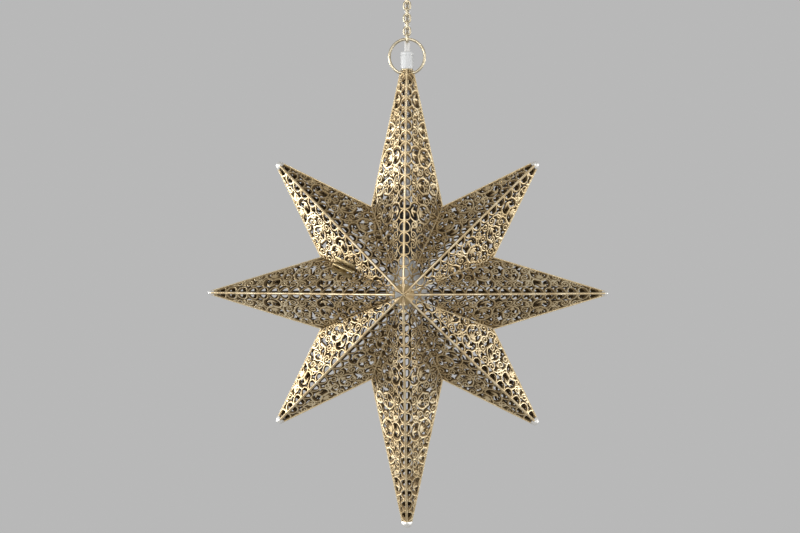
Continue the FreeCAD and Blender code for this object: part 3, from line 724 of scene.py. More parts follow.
def ridgeMesh(name, reach, end, start):
    # a folded strip soldered over the ridge, drawn along X
    facet = shapeOfFacet(reach, end)
    along = facet["along"]
    outward = along.cross(up)
    if outward.y > 0:
        outward = -outward
    slope = -facet["away"].dot(outward) / facet["away"].z
    points = []
    stations = int((facet["ridgeEnd"] - start) / ridge["spacing"])
    sides = 12
    for index in range(stations + 1):
        u = start + (facet["ridgeEnd"] - start) * index / stations
        taper = ridge["startWidth"] + (1 - ridge["startWidth"]) * min(1, u / ridge["taperLength"])
        waver = ridge["waver"] * math.sin(u * 410) * math.sin(u * 173 + 1)
        middle = facet["apex"] + along * u
        rim, under = [], []
        for side in range(sides + 1):
            share = 2 * side / sides - 1
            w = ridge["halfWidth"] * taper * share
            fall = slope * (math.hypot(w, ridge["crestRound"]) - ridge["crestRound"])
            rise = (ridge["rise"] * taper + waver) * (1 - share ** 8)
            rim.append(middle + up * w + outward * (rise - fall))
            under.append(middle + up * w * 0.96 + outward * (-fall - ridge["depth"] * (1 - 0.6 * share * share)))
        points += rim + under[::-1]
    return ringMesh(name, points, 2 * (sides + 1), sharpAngle=50)


def seamMesh(name, rough=0.0):
    # the solder in a valley, from the notch to the apex, drawn below a ray along X; rough adds uneven drops
    notch = inPlane(-sector / 2, star["notchReach"])
    shares = [solderRun["seamStart"] + solderRun["seamLength"] * step / 120 for step in range(121)]
    path, sizes = [notch.lerp(frontPoint, share) for share in shares], []
    for index, point in enumerate(path):
        wave = math.sin(index * 0.41) * math.sin(index * 0.173 + 0.6)
        point += Vector((0, solderRun["waver"], solderRun["patchWaver"] * rough)) * wave
        swell = min(1, max(0, (index - solderRun["patchStart"]) / 20))
        drop = max(0, math.sin(index * 0.55 + 2 * math.sin(index * 0.21))) * swell
        sizes.append(1 + 0.15 * wave + rough * drop)
    return sweptMesh(name, path, roundSection(solderRun["seamRadius"], 10), sizes=sizes)


def rimMesh(name, reach, end):
    # the soldered rim where the front and back sheets meet, on both sides of a ray along X
    notch, outlineEnd = rayOutline(reach, end)
    points, faces = [], []
    for side in (1, -1):
        path = [notch.lerp(outlineEnd, step / 80) for step in range(81)]
        for point in path:
            point.z *= side
        mesh = sweptMesh(name, path, roundSection(solderRun["rimRadius"], 10))
        faces += [[corner + len(points) for corner in face.vertices] for face in mesh.polygons]
        points += [vertex.co.copy() for vertex in mesh.vertices]
        bpy.data.meshes.remove(mesh)
    return meshFromFaces(name, points, faces, 50)


def beadMesh(name, reach, end):
    # a drop of solder over a ray's end: square at the sheet, round at its tip
    facet = shapeOfFacet(reach, end)
    halfDepth = -(facet["apex"] + facet["along"] * facet["ridgeEnd"]).y
    u, v = facet["outlineEnd"]
    halfWidth = (facet["apex"] + facet["along"] * u + facet["away"] * v).z
    points = []
    rings, sides = 12, 32
    for share in (ring / rings for ring in range(rings + 1)):
        out = end - bead["sunk"] + bead["length"] * math.sin(share * math.pi / 2)
        size = (bead["spread"] - bead["flare"] * (1 - share) ** 2) * math.cos(share * math.pi / 2) ** bead["blunt"]
        roundness = min(1, 0.35 + share * 1.1)
        for side in range(sides):
            turn = 2 * math.pi * side / sides
            c, s = math.cos(turn), math.sin(turn)
            spread = 1 / (abs(c) + abs(s)) * (1 - roundness) + bead["roundSize"] * roundness
            points.append((out, halfDepth * size * spread * c, halfWidth * size * spread * s))
    return ringMesh(name, points, sides, capped=(True, False), sharpAngle=60)


def addTrim():
    strips = {kind: ridgeMesh(kind + "Strip", *shape, ridge["start"]) for kind, shape in rayShapes.items()}
    reach, end = rayShapes["wide"]
    strips["door"] = ridgeMesh("doorStrip", reach, end - star["doorGap"], ridge["doorStart"])
    seam, patchedSeam = seamMesh("valleySeam"), seamMesh("patchedSeam", rough=solderRun["patchRough"])
    beads = {kind: beadMesh(kind + "Bead", *rayShapes[kind]) for kind in ("wide", "diagonal", "tall")}
    rims = {kind: rimMesh(kind + "Rim", *shape) for kind, shape in rayShapes.items()}
    for index, name in enumerate(rayNames):
        kind, place = rayKind(index), rayPlace(index, False)
        addPiece("rim_" + name, rims[kind], solder, "star", place=place)
        for side, isBack in (("front_", False), ("back_", True)):
            isDoor = name == "left" and not isBack
            body, sidePlace = "door" if isDoor else "star", rayPlace(index, isBack)
            addPiece(side + "strip_" + name, strips["door" if isDoor else kind], ridgeBrass, body, place=sidePlace)
            besideDoor = not isBack and name in ("left", "lower_left")
            if not besideDoor:
                mesh = patchedSeam if name == "upper_right" and not isBack else seam
                addPiece(side + "seam_" + name, mesh, solder, "star", place=sidePlace)
        if kind in beads:
            nodes = ["tip_beads"] if name == "right" else []
            addPiece("bead_" + name, beads[kind], tipSolder, "star", nodes, place)


solder = metalMaterial("solder", {
    "bare": (0.80, 0.71, 0.52),
    "metal": (0.60, 0.49, 0.31),
    "patina": (0.28, 0.20, 0.11),
    "crest": 0.9, "cloudScale": 180.0, "cloudAmount": 0.45, "smooth": 0.40, "rough": 0.58, "grain": 0.1,
})
tipSolder = metalMaterial("tipSolder", {
    "bare": (0.88, 0.87, 0.84),
    "metal": (0.76, 0.74, 0.69),
    "patina": (0.34, 0.30, 0.24),
    "crest": 0.92, "cloudScale": 200.0, "cloudAmount": 0.2, "smooth": 0.42, "rough": 0.6, "grain": 0.08,
})
addTrim()
print("strips, seams and solder placed")

wireBrass = metalMaterial("wireBrass", {
    "bare": (0.70, 0.62, 0.46),
    "metal": (0.48, 0.41, 0.28),
    "patina": (0.18, 0.13, 0.06),
    "crest": 0.95, "cloudScale": 160.0, "cloudAmount": 0.4, "smooth": 0.32, "rough": 0.5, "grain": 0.03,
})
fittingBrass = metalMaterial("fittingBrass", {
    "bare": (0.66, 0.57, 0.38),
    "metal": (0.48, 0.37, 0.21),
    "patina": (0.24, 0.15, 0.07),
    "crest": 0.92, "cloudScale": 45.0, "cloudAmount": 0.35, "smooth": 0.32, "rough": 0.42, "grain": 0.04,
})
chain = {
    "links": 7,
    "wire": 0.0012,
    "width": 0.0092,
    "innerLength": 0.0073,
}
ringShape = {
    "radius": 0.0194,
    "wire": 0.0016,
    "bend": 0.0088,  # how far from the middle its ends turn into the neck
    "bendRound": 0.0022,
    "end": 0.0044,
}
loop = {
    "wire": 0.0020,
    "radius": 0.0080,
    "bottom": 0.32399,  # the middle of its lowest wire, over the star's middle
    "collarBottom": 0.34599,  # likewise
    "intoCollar": 0.002,
    "collar": [(0.0100, 0), (0.0110, 0.0012), (0.0110, 0.0030), (0.0098, 0.0040), (0.0075, 0.0044)],
    "collarNeck": 0.0075,
    "tubeDepth": 0.009,
}
tube = {
    "bore": 0.0038,
    "radius": 0.0050,
    "endRadius": 0.0047,
    "hole": 0.00505,  # radius of the holes that it goes through
    "pitch": 0.001,
    "threadDepth": 0.0003,
}


def arcPath(middle, first, second, radius, start, end, steps):
    turns = [start + (end - start) * step / steps for step in range(steps + 1)]
    return [middle + first * (radius * math.cos(turn)) + second * (radius * math.sin(turn)) for turn in turns]


def addChain():
    endRadius = chain["width"] / 2 - chain["wire"]
    rise = (chain["innerLength"] + 2 * chain["wire"]) / 2 - endRadius
    for number in range(1, chain["links"] + 1):
        low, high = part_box("chain_link_" + str(number))
        across, sideways = (back, right) if number % 2 else (right, back)
        path = arcPath(up * rise, across, up, endRadius, 0, math.pi, 14)
        path += arcPath(-up * rise, across, up, endRadius, math.pi, 2 * math.pi, 14)
        mesh = sweptMesh("link", path, roundSection(chain["wire"]), sideways=sideways, closed=True)
        addPiece("wire_link_" + str(number), mesh, wireBrass, "link_" + str(number), ["chain_link_" + str(number)],
                 Matrix.Translation((low + high) / 2))


def addRing():
    # wire bent round, with both ends turned into the neck
    radius, bend = ringShape["radius"], ringShape["bend"]
    pivot, end = up * star["pivotHeight"], right * ringShape["end"]
    middle = pivot + up * math.sqrt(radius ** 2 - bend ** 2)
    gapTurn = math.asin(bend / radius)
    path = [pivot + end] + arcPath(middle, -up, right, radius, gapTurn, 2 * math.pi - gapTurn, 72) + [pivot - end]
    ends = [roundedCorners(run, ringShape["bendRound"], 5, closed=False)[1:-1] for run in (path[:4], path[-4:])]
    path = path[:1] + ends[0] + path[3:-3] + ends[1] + path[-1:]
    mesh = sweptMesh("ring", path, roundSection(ringShape["wire"]), sideways=back)
    addPiece("wire_ring", mesh, wireBrass, "ring", ["hanging_ring"], Matrix.Translation(starMiddle))


def addLoop():
    # the loop's wire, and its collar up to the cup
    radius, bore, hole = loop["radius"], tube["bore"], tube["hole"]
    low, top = starHeight + loop["collarBottom"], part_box("ceiling_cup")[0].z
    bow = arcPath(up * (starHeight + loop["bottom"] + radius), right, up, radius, 0, -math.pi, 28)
    ends = [Vector((side * radius, 0, low + loop["intoCollar"])) for side in (1, -1)]
    wire = sweptMesh("loopWire", ends[:1] + bow + ends[1:], roundSection(loop["wire"]), sideways=back)
    addPiece("loop_wire", wire, wireBrass, "ceiling_mount", ["chain_loop"])
    profile = [(bore, low)] + [(radius, low + rise) for radius, rise in loop["collar"]] + [
        (loop["collarNeck"], top), (hole, top), (hole, top - loop["tubeDepth"]), (bore, top - loop["tubeDepth"]),
    ]
    addTurned("loop_collar", profile, fittingBrass, "ceiling_mount", rounding=0.0007)


addChain()
addRing()
addLoop()
print("chain, ring and loop placed")

zincSteel = metalMaterial("zincSteel", {
    "bare": (0.52, 0.52, 0.52),
    "metal": (0.40, 0.40, 0.41),
    "patina": (0.25, 0.24, 0.23),
    "crest": 0.9, "cloudScale": 120.0, "cloudAmount": 0.4, "smooth": 0.42, "rough": 0.62, "grain": 0.2,
})
cup = {
    "radius": 0.055,
    "wall": 0.0010,
    "floorRadius": 0.014,
    "straightRim": 0.014,
    "screw": [
        (0, -0.009), (0.0019, -0.009), (0.0019, 0), (0.004, 0), (0.004, 0.0024), (0.0033, 0.003), (0, 0.003),
    ],
    "screwFlutes": {"count": 24, "depth": 0.00025, "low": 0.0004, "high": 0.0022, "leastRadius": 0.003},
    "screwGap": 0.00015,
    "nutFace": 0.0072,
    "nutRadius": 0.0081,
    "nutBevel": 0.0007,
}


def cupSide(radius, bottom, top):
    # from the cup's flat floor round to its rim
    shoulder = top - cup["straightRim"] - bottom
    width = radius - cup["floorRadius"]
    turns = [math.pi / 2 * step / 12 for step in range(13)]
    across = [cup["floorRadius"] + width * math.sin(turn) for turn in turns]
    rise = [bottom + shoulder * (1 - math.cos(turn)) for turn in turns]
    return list(zip(across, rise)) + [(radius, top)]


def addCup():
    low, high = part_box("ceiling_cup")
    wall, hole = cup["wall"], tube["hole"]
    outside = cupSide(cup["radius"], low.z, high.z)
    inside = cupSide(cup["radius"] - wall, low.z + wall, high.z)[::-1]
    profile = [(hole, low.z)] + outside + inside + [(hole, low.z + wall)]
    addTurned("spun_cup", profile, fittingBrass, "ceiling_mount", ["ceiling_cup"], rounding=0.0004, sides=96)
    # threads: a row of fine rings down the tube
    low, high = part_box("cup_nipple")
    pitch, outer, inner = tube["pitch"], tube["radius"], tube["radius"] - tube["threadDepth"]
    profile = [(tube["bore"], high.z), (tube["bore"], low.z), (tube["endRadius"], low.z)]
    for index in range(int((high.z - low.z) / pitch)):
        profile += [(outer, low.z + pitch * (index + 0.5)), (inner, low.z + pitch * (index + 1))]
    addTurned("threaded_tube", profile, fittingBrass, "ceiling_mount", ["cup_nipple"], rounding=0.00008, sides=40)
    low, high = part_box("nipple_nut")
    face, radius, bevel = cup["nutFace"], cup["nutRadius"], cup["nutBevel"]
    addTurned("hexagon_nut", [
        (hole, low.z), (face, low.z), (radius, low.z + bevel),
        (radius, high.z - bevel), (face, high.z), (hole, high.z),
    ], fittingBrass, "ceiling_mount", ["nipple_nut"], rounding=0.0002, sides=6, sharpAngle=20)
    low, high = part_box("cup_screws")
    mesh = turnedMesh("cupScrew", cup["screw"], rounding=0.0004, sides=96, flutes=cup["screwFlutes"])
    for name, side, nodes in (("front", -1, ["cup_screws"]), ("back", 1, [])):
        place = Matrix.Translation((0, side * (cup["radius"] + cup["screwGap"]), (low.z + high.z) / 2))
        place = place @ Matrix.Rotation(-side * math.pi / 2, 4, "X")
        addPiece("cup_screw_" + name, mesh, fittingBrass, "ceiling_mount", nodes, place)
    bracket = frame["nodes"]["ceiling_bracket"]
    bracket.data.materials.clear()
    bracket.data.materials.append(zincSteel)


addCup()
print("ceiling cup placed")


def plasticMaterial(name, look):
    # moulded plastic or glass: faint cloudy colour and a fine skin
    material, tree, shader = newMaterial(name)
    place = addNode(tree, "TexCoord", (-900, 0)).outputs["Object"]
    cloud = addNode(tree, "TexNoise", (-700, 100), {"Vector": place, "Scale": look["cloudScale"], "Detail": 4})
    colour = mixColour(tree, (-300, 200), cloud, (*look["colour"], 1), (*look["shade"], 1))
    if "core" in look:
        # the middle of the flat cord, between its two cores, is given a greyer colour
        across = addNode(tree, "Attribute", (-700, -150), attribute_name="across").outputs["Fac"]
        fromMiddle = addNode(tree, "Math", (-500, -150), {0: across}, operation="ABSOLUTE")
        web = addNode(tree, "MapRange", (-300, -150), {"Value": fromMiddle, "From Min": 0.05, "From Max": 0.2})
        colour = mixColour(tree, (-120, 100), web, (*look["core"], 1), colour)
    shine = {"Value": cloud, "To Min": look["smooth"], "To Max": look["rough"]}
    grain = {"Strength": look["grain"], "Distance": 0.0001, "Height": cloud}
    feed(tree, shader, {
        "Base Color": colour, "Roughness": addNode(tree, "MapRange", (-300, -400), shine),
        "Normal": addNode(tree, "Bump", (-150, -300), grain), "IOR": 1.47,
        "Transmission Weight": look.get("transmission", 0), "Coat Weight": look.get("coat", 0),
    })
    return material


clearCord = plasticMaterial("clearCord", {
    "colour": (0.90, 0.89, 0.87),
    "shade": (0.82, 0.81, 0.79),
    "core": (0.70, 0.70, 0.69),
    "cloudScale": 380.0, "smooth": 0.18, "rough": 0.3, "grain": 0.03, "coat": 0.4,
})
cord = {
    "halfWidth": 0.0031,
    "coreRadius": 0.0017,
    "step": 0.0006,
    "topBend": 0.008,  # over the loop's lowest wire
    "ringCut": 0.2736,  # over the star's middle
    "gripBend": 0.2654,
    "creasedStretch": 5,
    "creaseGap": 0.00065,
    "pocketDepth": 0.002,
    "pocketSize": 0.97,
    "plugHeight": 0.0006,
    "plugSize": 0.9,
    "upwardStretch": 3,  # this stretch's ends are listed from the lower body
    # both routes are in the frame's own heights, under the ceiling
    "lampRoute": [(0, 0, -0.13689), (0, 0.0003, -0.21644), (0, 0, -0.29599)],
    "chainRoute": [
        (0, 0.0200, -0.00800), (0, 0.0100, -0.00800), (0, 0, -0.01800), (0, 0, -0.04900), (0, 0.00665, -0.06150),
        (0, 0.00695, -0.09189), (0, 0.00665, -0.11639), (0, 0, -0.12889), (0, 0, -0.13679),
    ],
}


def splinePath(route):
    # points along one smooth line, read from a curve with the route as its control points
    data = bpy.data.curves.new("route", "CURVE")
    data.dimensions = "3D"
    data.resolution_u = 24
    spline = data.splines.new("NURBS")
    spline.points.add(len(route) - 1)
    for point, place in zip(spline.points, route):
        point.co = (*place, 1)
    spline.order_u = 3
    spline.use_endpoint_u = True
    curve = bpy.data.objects.new("route", data)
    line = bpy.data.meshes.new_from_object(curve)
    places = [vertex.co.copy() for vertex in line.vertices]
    bpy.data.objects.remove(curve)
    bpy.data.meshes.remove(line)
    bpy.data.curves.remove(data)
    # even steps, so that each stretch bends smoothly
    path, spare = [places[0]], 0.0
    for a, b in zip(places, places[1:]):
        length = (b - a).length
        reach = cord["step"] - spare
        while reach < length:
            path.append(a.lerp(b, reach / length))
            reach += cord["step"]
        spare = length - (reach - cord["step"])
    if (places[-1] - path[-1]).length < cord["step"] / 2:
        path.pop()
    return path + [places[-1]]


def flatCordSection():
    radius = cord["coreRadius"]
    offset = cord["halfWidth"] - radius
    half = [math.radians(-126 + 252 * step / 14) for step in range(15)]
    lobe = [(offset + radius * math.cos(turn), radius * math.sin(turn)) for turn in half]
    return lobe + [(-across, -out) for across, out in lobe]


def pathLength(path):
    return sum((b - a).length for a, b in zip(path, path[1:]))


def addCreasedStretch(path, section, upperBody, lowerBody, number):
    # two stiff halves that meet at the joint between two links: the lower one's narrow top turns in the upper one
    pivot = next(joint["pos_m"][2] for joint in frame["joints"] if joint["child"] == lowerBody)
    middle = min(path, key=lambda place: abs(place.z - pivot)).copy()
    middle.z = pivot
    above = [place for place in path if place.z > pivot + cord["creaseGap"]]
    below = [place for place in path if place.z < pivot - 2 * cord["creaseGap"]]
    gap, pocket, plug = (up * cord[key] for key in ("creaseGap", "pocketDepth", "plugHeight"))
    upperSizes = [1] * (len(above) + 1) + [cord["pocketSize"]] * 2
    lowerSizes = [cord["plugSize"]] * 2 + [1] * (len(below) + 1)
    pieces = []
    for body, places, sizes in (
        (upperBody, above + [middle, middle, middle + pocket], upperSizes),
        (lowerBody, [middle + plug, middle - gap, middle - gap] + below, lowerSizes),
    ):
        mesh = sweptMesh("cordStretch", places, section, sideways=right, sizes=sizes, steadyHeading=-up)
        pieces.append(addPiece("cord_stretch_" + str(number + len(pieces)), mesh, clearCord, body))
    return pieces


def addCords():
    section = flatCordSection()
    lampPath = splinePath(cord["lampRoute"])
    mesh = sweptMesh("cordToLamp", lampPath, section, sideways=right)
    lampCord = addPiece("cord_to_lamp", mesh, clearCord, "star", ["lamp_cord"])
    # behind the chain the cord is made in stretches from one link's middle to the next, each across one joint
    links = ["link_" + str(number + 1) for number in range(chain["links"])]
    boxes = [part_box("chain_" + link) for link in links]
    linkMiddles = [(low.z + high.z) / 2 for low, high in boxes]
    bodies = ["ceiling_mount"] + links + ["ring", "star"]
    ringCut = starHeight + cord["ringCut"]
    cuts = [0.0] + linkMiddles + [ringCut, -1.0]
    bends = [starHeight + loop["bottom"] + cord["topBend"]] + linkMiddles
    bends += [ringCut, starHeight + cord["gripBend"]]
    path = splinePath(cord["chainRoute"])
    stretches = []
    for index, (top, bottom) in enumerate(zip(cuts, cuts[1:])):
        inside = [place for place in path if bottom < place.z <= top or (index == 0 and place.z > bottom)]
        stretches.append(stretches[-1][-1:] + inside if stretches else inside)
    pieces = []
    for index, stretch in enumerate(stretches):
        if index == cord["creasedStretch"]:
            pieces += addCreasedStretch(stretch, section, bodies[index], bodies[index + 1], len(pieces) + 1)
            continue
        mesh = sweptMesh("cordStretch", stretch, section, sideways=right)
        piece = addMeshObject("cord_stretch_" + str(len(pieces) + 1), mesh, clearCord)
        ends = list(zip(bodies[index:index + 2], bends[index:index + 2]))
        if index == cord["upwardStretch"]:
            ends.reverse()
        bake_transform(piece)
        pieces.append(piece)
    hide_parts("chain_cord")
    print("cord in the chain is", round(pathLength(path), 4), "m, in the lamp", round(pathLength(lampPath), 4))


addCords()

clearGrip = plasticMaterial("clearGrip", {
    "colour": (0.90, 0.91, 0.91),
    "shade": (0.82, 0.83, 0.83),
    "cloudScale": 220.0, "smooth": 0.25, "rough": 0.45, "grain": 0.03, "transmission": 0.2,
})
bush = {
    "bore": 0.00335,
    "radius": 0.0040,
    "flange": 0.0064,
}
grip = {
    "bore": 0.00405,
    "radius": 0.00715,
    "footRadius": 0.0067,
    "inside": 0.0058,
    "footHeight": 0.0025,
    "rebate": (0.0009, 0.0005),  # under the body's upper edge
    "capTopRadius": 0.0062,
    "capBevel": 0.0012,
    "flutes": {"count": 24, "depth": 0.00022, "leastRadius": 0.0065},
    "fluteEnd": 0.001,  # under the cap's top
}


def addGrip():
    bushLow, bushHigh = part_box("neck_bush")
    low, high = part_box("cord_grip_body")
    neck = starHeight + rayShapes["neck"][1]
    bore, radius, flange = bush["bore"], bush["radius"], bush["flange"]
    addTurned("bush", [
        (bore, bushLow.z), (radius, bushLow.z), (radius, neck), (flange, neck), (flange, low.z), (radius, low.z),
        (radius, bushHigh.z), (bore, bushHigh.z),
    ], fittingBrass, "star", ["neck_bush"], rounding=0.0003)
    bore, radius, foot, inside = grip["bore"], grip["radius"], grip["footRadius"], grip["inside"]
    below, above = (high.z - drop for drop in grip["rebate"])
    addTurned("grip_body", [
        (bore, low.z), (foot, low.z), (radius, low.z + grip["footHeight"]), (radius, below), (foot, above),
        (foot, high.z), (inside, high.z), (inside, bushHigh.z), (bore, bushHigh.z),
    ], clearGrip, "star", ["cord_grip_body"], rounding=0.0004, sides=72)
    low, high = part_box("cord_grip_cap")
    flutes = {**grip["flutes"], "low": low.z, "high": high.z - grip["fluteEnd"]}
    addTurned("grip_cap", [
        (inside, low.z), (radius, low.z), (radius, high.z - grip["capBevel"]),
        (grip["capTopRadius"], high.z), (inside, high.z),
    ], clearGrip, "star", ["cord_grip_cap"], rounding=0.0004, sides=144, flutes=flutes)


addGrip()
print("cords and grip placed")

blackBakelite = plasticMaterial("blackBakelite", {
    "colour": (0.018, 0.016, 0.015),
    "shade": (0.035, 0.031, 0.028),
    "cloudScale": 90.0, "smooth": 0.22, "rough": 0.4, "grain": 0.2, "coat": 0.3,
})
frostedGlass = plasticMaterial("frostedGlass", {
    "colour": (0.95, 0.94, 0.91),
    "shade": (0.88, 0.88, 0.86),
    "cloudScale": 60.0, "smooth": 0.35, "rough": 0.5, "grain": 0.1, "transmission": 0.2, "coat": 0.1,
})
whitePlastic = plasticMaterial("whitePlastic", {
    "colour": (0.80, 0.79, 0.75),
    "shade": (0.72, 0.71, 0.68),
    "cloudScale": 150.0, "smooth": 0.4, "rough": 0.55, "grain": 0.2,
})
lampMetal = metalMaterial("lampMetal", {
    "bare": (0.80, 0.80, 0.80),
    "metal": (0.62, 0.62, 0.62),
    "patina": (0.30, 0.30, 0.29),
    "crest": 0.9, "cloudScale": 200.0, "cloudAmount": 0.3, "smooth": 0.25, "rough": 0.45, "grain": 0.04,
})
holder = {
    "radius": 0.014,
    "bore": 0.009,
    "boreDepth": 0.026,
    "upperBore": 0.0065,
    "ribs": 3,
    "ribRise": 0.0006,
    "ribHeight": 0.002,
    "capRound": 0.005,
    "capTop": 0.0075,
    "cordBore": 0.00395,
    "insertRadius": 0.0080,
    "insertFlange": 0.0089,
    "insertBore": 0.0072,
    "insertBase": 0.0025,
    "insertThread": 0.6,  # of the lamp's own thread depth
    "contactRadius": 0.0020,
    "contactHeight": 0.0012,
}
bulb = {
    "globeRadius": 0.0225,
    "neckRadius": 0.0082,
    "neckLength": 0.006,
    "neckToGlobe": 0.035,
    "shoulderTurn": math.radians(50),
    "capRadius": 0.0070,
    "capFoot": 0.0028,
    "capShoulder": 0.0016,
    "contactRadius": 0.0030,
    "contactFoot": 0.0046,
    "threadDepth": 0.0006,
    "threadPitch": 0.0028,
    "threadFoot": 0.003,
    "threadTop": 0.001,
}
block = {
    "rounding": 0.0008,
    "screw": [(0, -0.0004), (0.0021, -0.0004), (0.0021, 0.0005), (0.0016, 0.0010), (0, 0.0010)],
}


def threadedSide(radius, low, high, pitch, depth):
    # a side with rounded rings, from the top down
    count = max(1, round((high - low) / pitch))
    side = []
    for index in range(count):
        top = high - (high - low) * index / count
        side += [(radius - depth, top - 0.0001), (radius, top - (high - low) / count / 2)]
    return side + [(radius - depth, low)]


def addHolder():
    low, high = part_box("lamp_holder_body")
    boreTop = low.z + holder["boreDepth"]
    radius, rise = holder["radius"], holder["ribHeight"]
    profile = [(holder["bore"], boreTop), (holder["bore"], low.z)]
    for number in range(holder["ribs"]):
        rib, wide = low.z + 2 * rise * number, radius + holder["ribRise"]
        profile += [(wide, rib), (wide, rib + rise), (radius, rib + rise), (radius, rib + 2 * rise)]
    profile += [(radius, high.z), (holder["upperBore"], high.z), (holder["upperBore"], boreTop)]
    addTurned("holder_body", profile, blackBakelite, "star", ["lamp_holder_body"], rounding=0.0005, sides=80)
    low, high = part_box("lamp_holder_cap")
    ease, bore = holder["capRound"], holder["cordBore"]
    addTurned("holder_cap", [
        (bore, low.z), (radius, low.z), (radius, high.z - 2 * ease), (radius - ease / 2, high.z - ease),
        (holder["capTop"], high.z), (bore, high.z),
    ], blackBakelite, "star", ["lamp_holder_cap"], rounding=0.0035, sides=80)
    low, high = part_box("lamp_holder_insert")
    base = high.z - holder["insertBase"]
    flange, bore, contact = holder["insertFlange"], holder["insertBore"], holder["contactRadius"]
    depth = bulb["threadDepth"] * holder["insertThread"]
    side = threadedSide(holder["insertRadius"], low.z, base, bulb["threadPitch"], depth)
    addTurned("holder_insert", [(0, high.z), (flange, high.z), (flange, base)] + side + [
        (bore, low.z), (bore, base), (contact, base), (contact, base - holder["contactHeight"]),
        (0, base - holder["contactHeight"]),
    ], fittingBrass, "star", ["lamp_holder_insert"], rounding=0.0004)


def addBulb():
    low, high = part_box("bulb_cap")
    top, radius, foot = high.z - bulb["capShoulder"], bulb["capRadius"], low.z + bulb["capFoot"]
    threadLow, threadHigh = low.z + bulb["threadFoot"], top - bulb["threadTop"]
    side = threadedSide(radius, threadLow, threadHigh, bulb["threadPitch"], bulb["threadDepth"])
    addTurned("lamp_cap", [(0, high.z), (bulb["contactRadius"], high.z), (bulb["contactFoot"], top)] + side + [
        (radius, foot), (radius, low.z), (0, low.z),
    ], lampMetal, "bulb", ["bulb_cap"], rounding=0.0004)
    globe = low.z - bulb["neckToGlobe"]
    radius, shoulder, neck = bulb["globeRadius"], bulb["shoulderTurn"], bulb["neckRadius"]
    profile = [(0, low.z), (neck, low.z), (neck, low.z - bulb["neckLength"])]
    for step in range(33):
        turn = shoulder - (shoulder + math.pi / 2) * step / 32
        profile.append((radius * math.cos(turn) if step < 32 else 0, globe + radius * math.sin(turn)))
    addTurned("lamp_glass", profile, frostedGlass, "bulb", ["bulb_glass"], rounding=0.004, sides=72)


def addBlock():
    low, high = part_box("terminal_block")
    middle, size = (low + high) / 2, high - low
    work = bmesh.new()
    for vertex in bmesh.ops.create_cube(work, size=1)["verts"]:
        vertex.co = Vector(a * b for a, b in zip(vertex.co, size)) + middle
    bevelEdges(work, block["rounding"], 3)
    mesh = writeMesh(bpy.data.meshes.new("connectorBlock"), work, 40)
    addPiece("connector_block", mesh, whitePlastic, "ceiling_mount", ["terminal_block"])
    screw = turnedMesh("blockScrew", block["screw"], rounding=0.0003, sides=32)
    for name, side in (("left", -1), ("right", 1)):
        place = Matrix.Translation((side * size.x / 4, middle.y, low.z)) @ Matrix.Rotation(math.pi, 4, "X")
        addPiece("block_screw_" + name, screw, fittingBrass, "ceiling_mount", place=place)


addHolder()
addBulb()
addBlock()
print("holder and bulb placed")

hinge = {
    "fromNotch": 0.024,
    "length": 0.031,
    "knuckleRadius": 0.0023,
    "knuckleGap": 0.0003,
    "lift": 0.00035,
    "pinRadius": 0.0009,
    "pinPlay": 0.0001,
    "headRadius": 0.0016,
    "headFace": 0.0011,
    "headHeight": 0.0008,
    "headEdge": 0.0004,
    "leafWidth": 0.0055,
    "leafThickness": 0.0008,
    "leafRound": 0.00022,
    "overlap": 0.0006,
    "setBack": 0.0029,
    "rivetRadius": 0.0009,
    "rivetRise": 0.0005,
    "rivetSunk": 0.0001,
    "rivetShares": (0.14, 0.5, 0.86),
}
# the hinge's brass is painted darker than the star's sheet: partly patina and partly painted shade
hingeBrass = metalMaterial("hingeBrass", {
    "bare": (0.44, 0.36, 0.21),
    "metal": (0.30, 0.23, 0.12),
    "patina": (0.09, 0.065, 0.035),
    "crest": 0.85, "cloudScale": 150.0, "cloudAmount": 0.6, "smooth": 0.28, "rough": 0.5, "grain": 0.06,
})


def facetFrame(rayIndex, notch, valley):
    # the outside normal of a facet beside the valley, and the direction across it
    point = inPlane(sector * rayIndex, rayShapes[rayKind(rayIndex)][0])
    normal = (point - frontPoint).cross(notch - frontPoint).normalized()
    if normal.y > 0:
        normal = -normal
    across = (point - notch) - valley * (point - notch).dot(valley)
    return normal, (across - normal * across.dot(normal)).normalized()


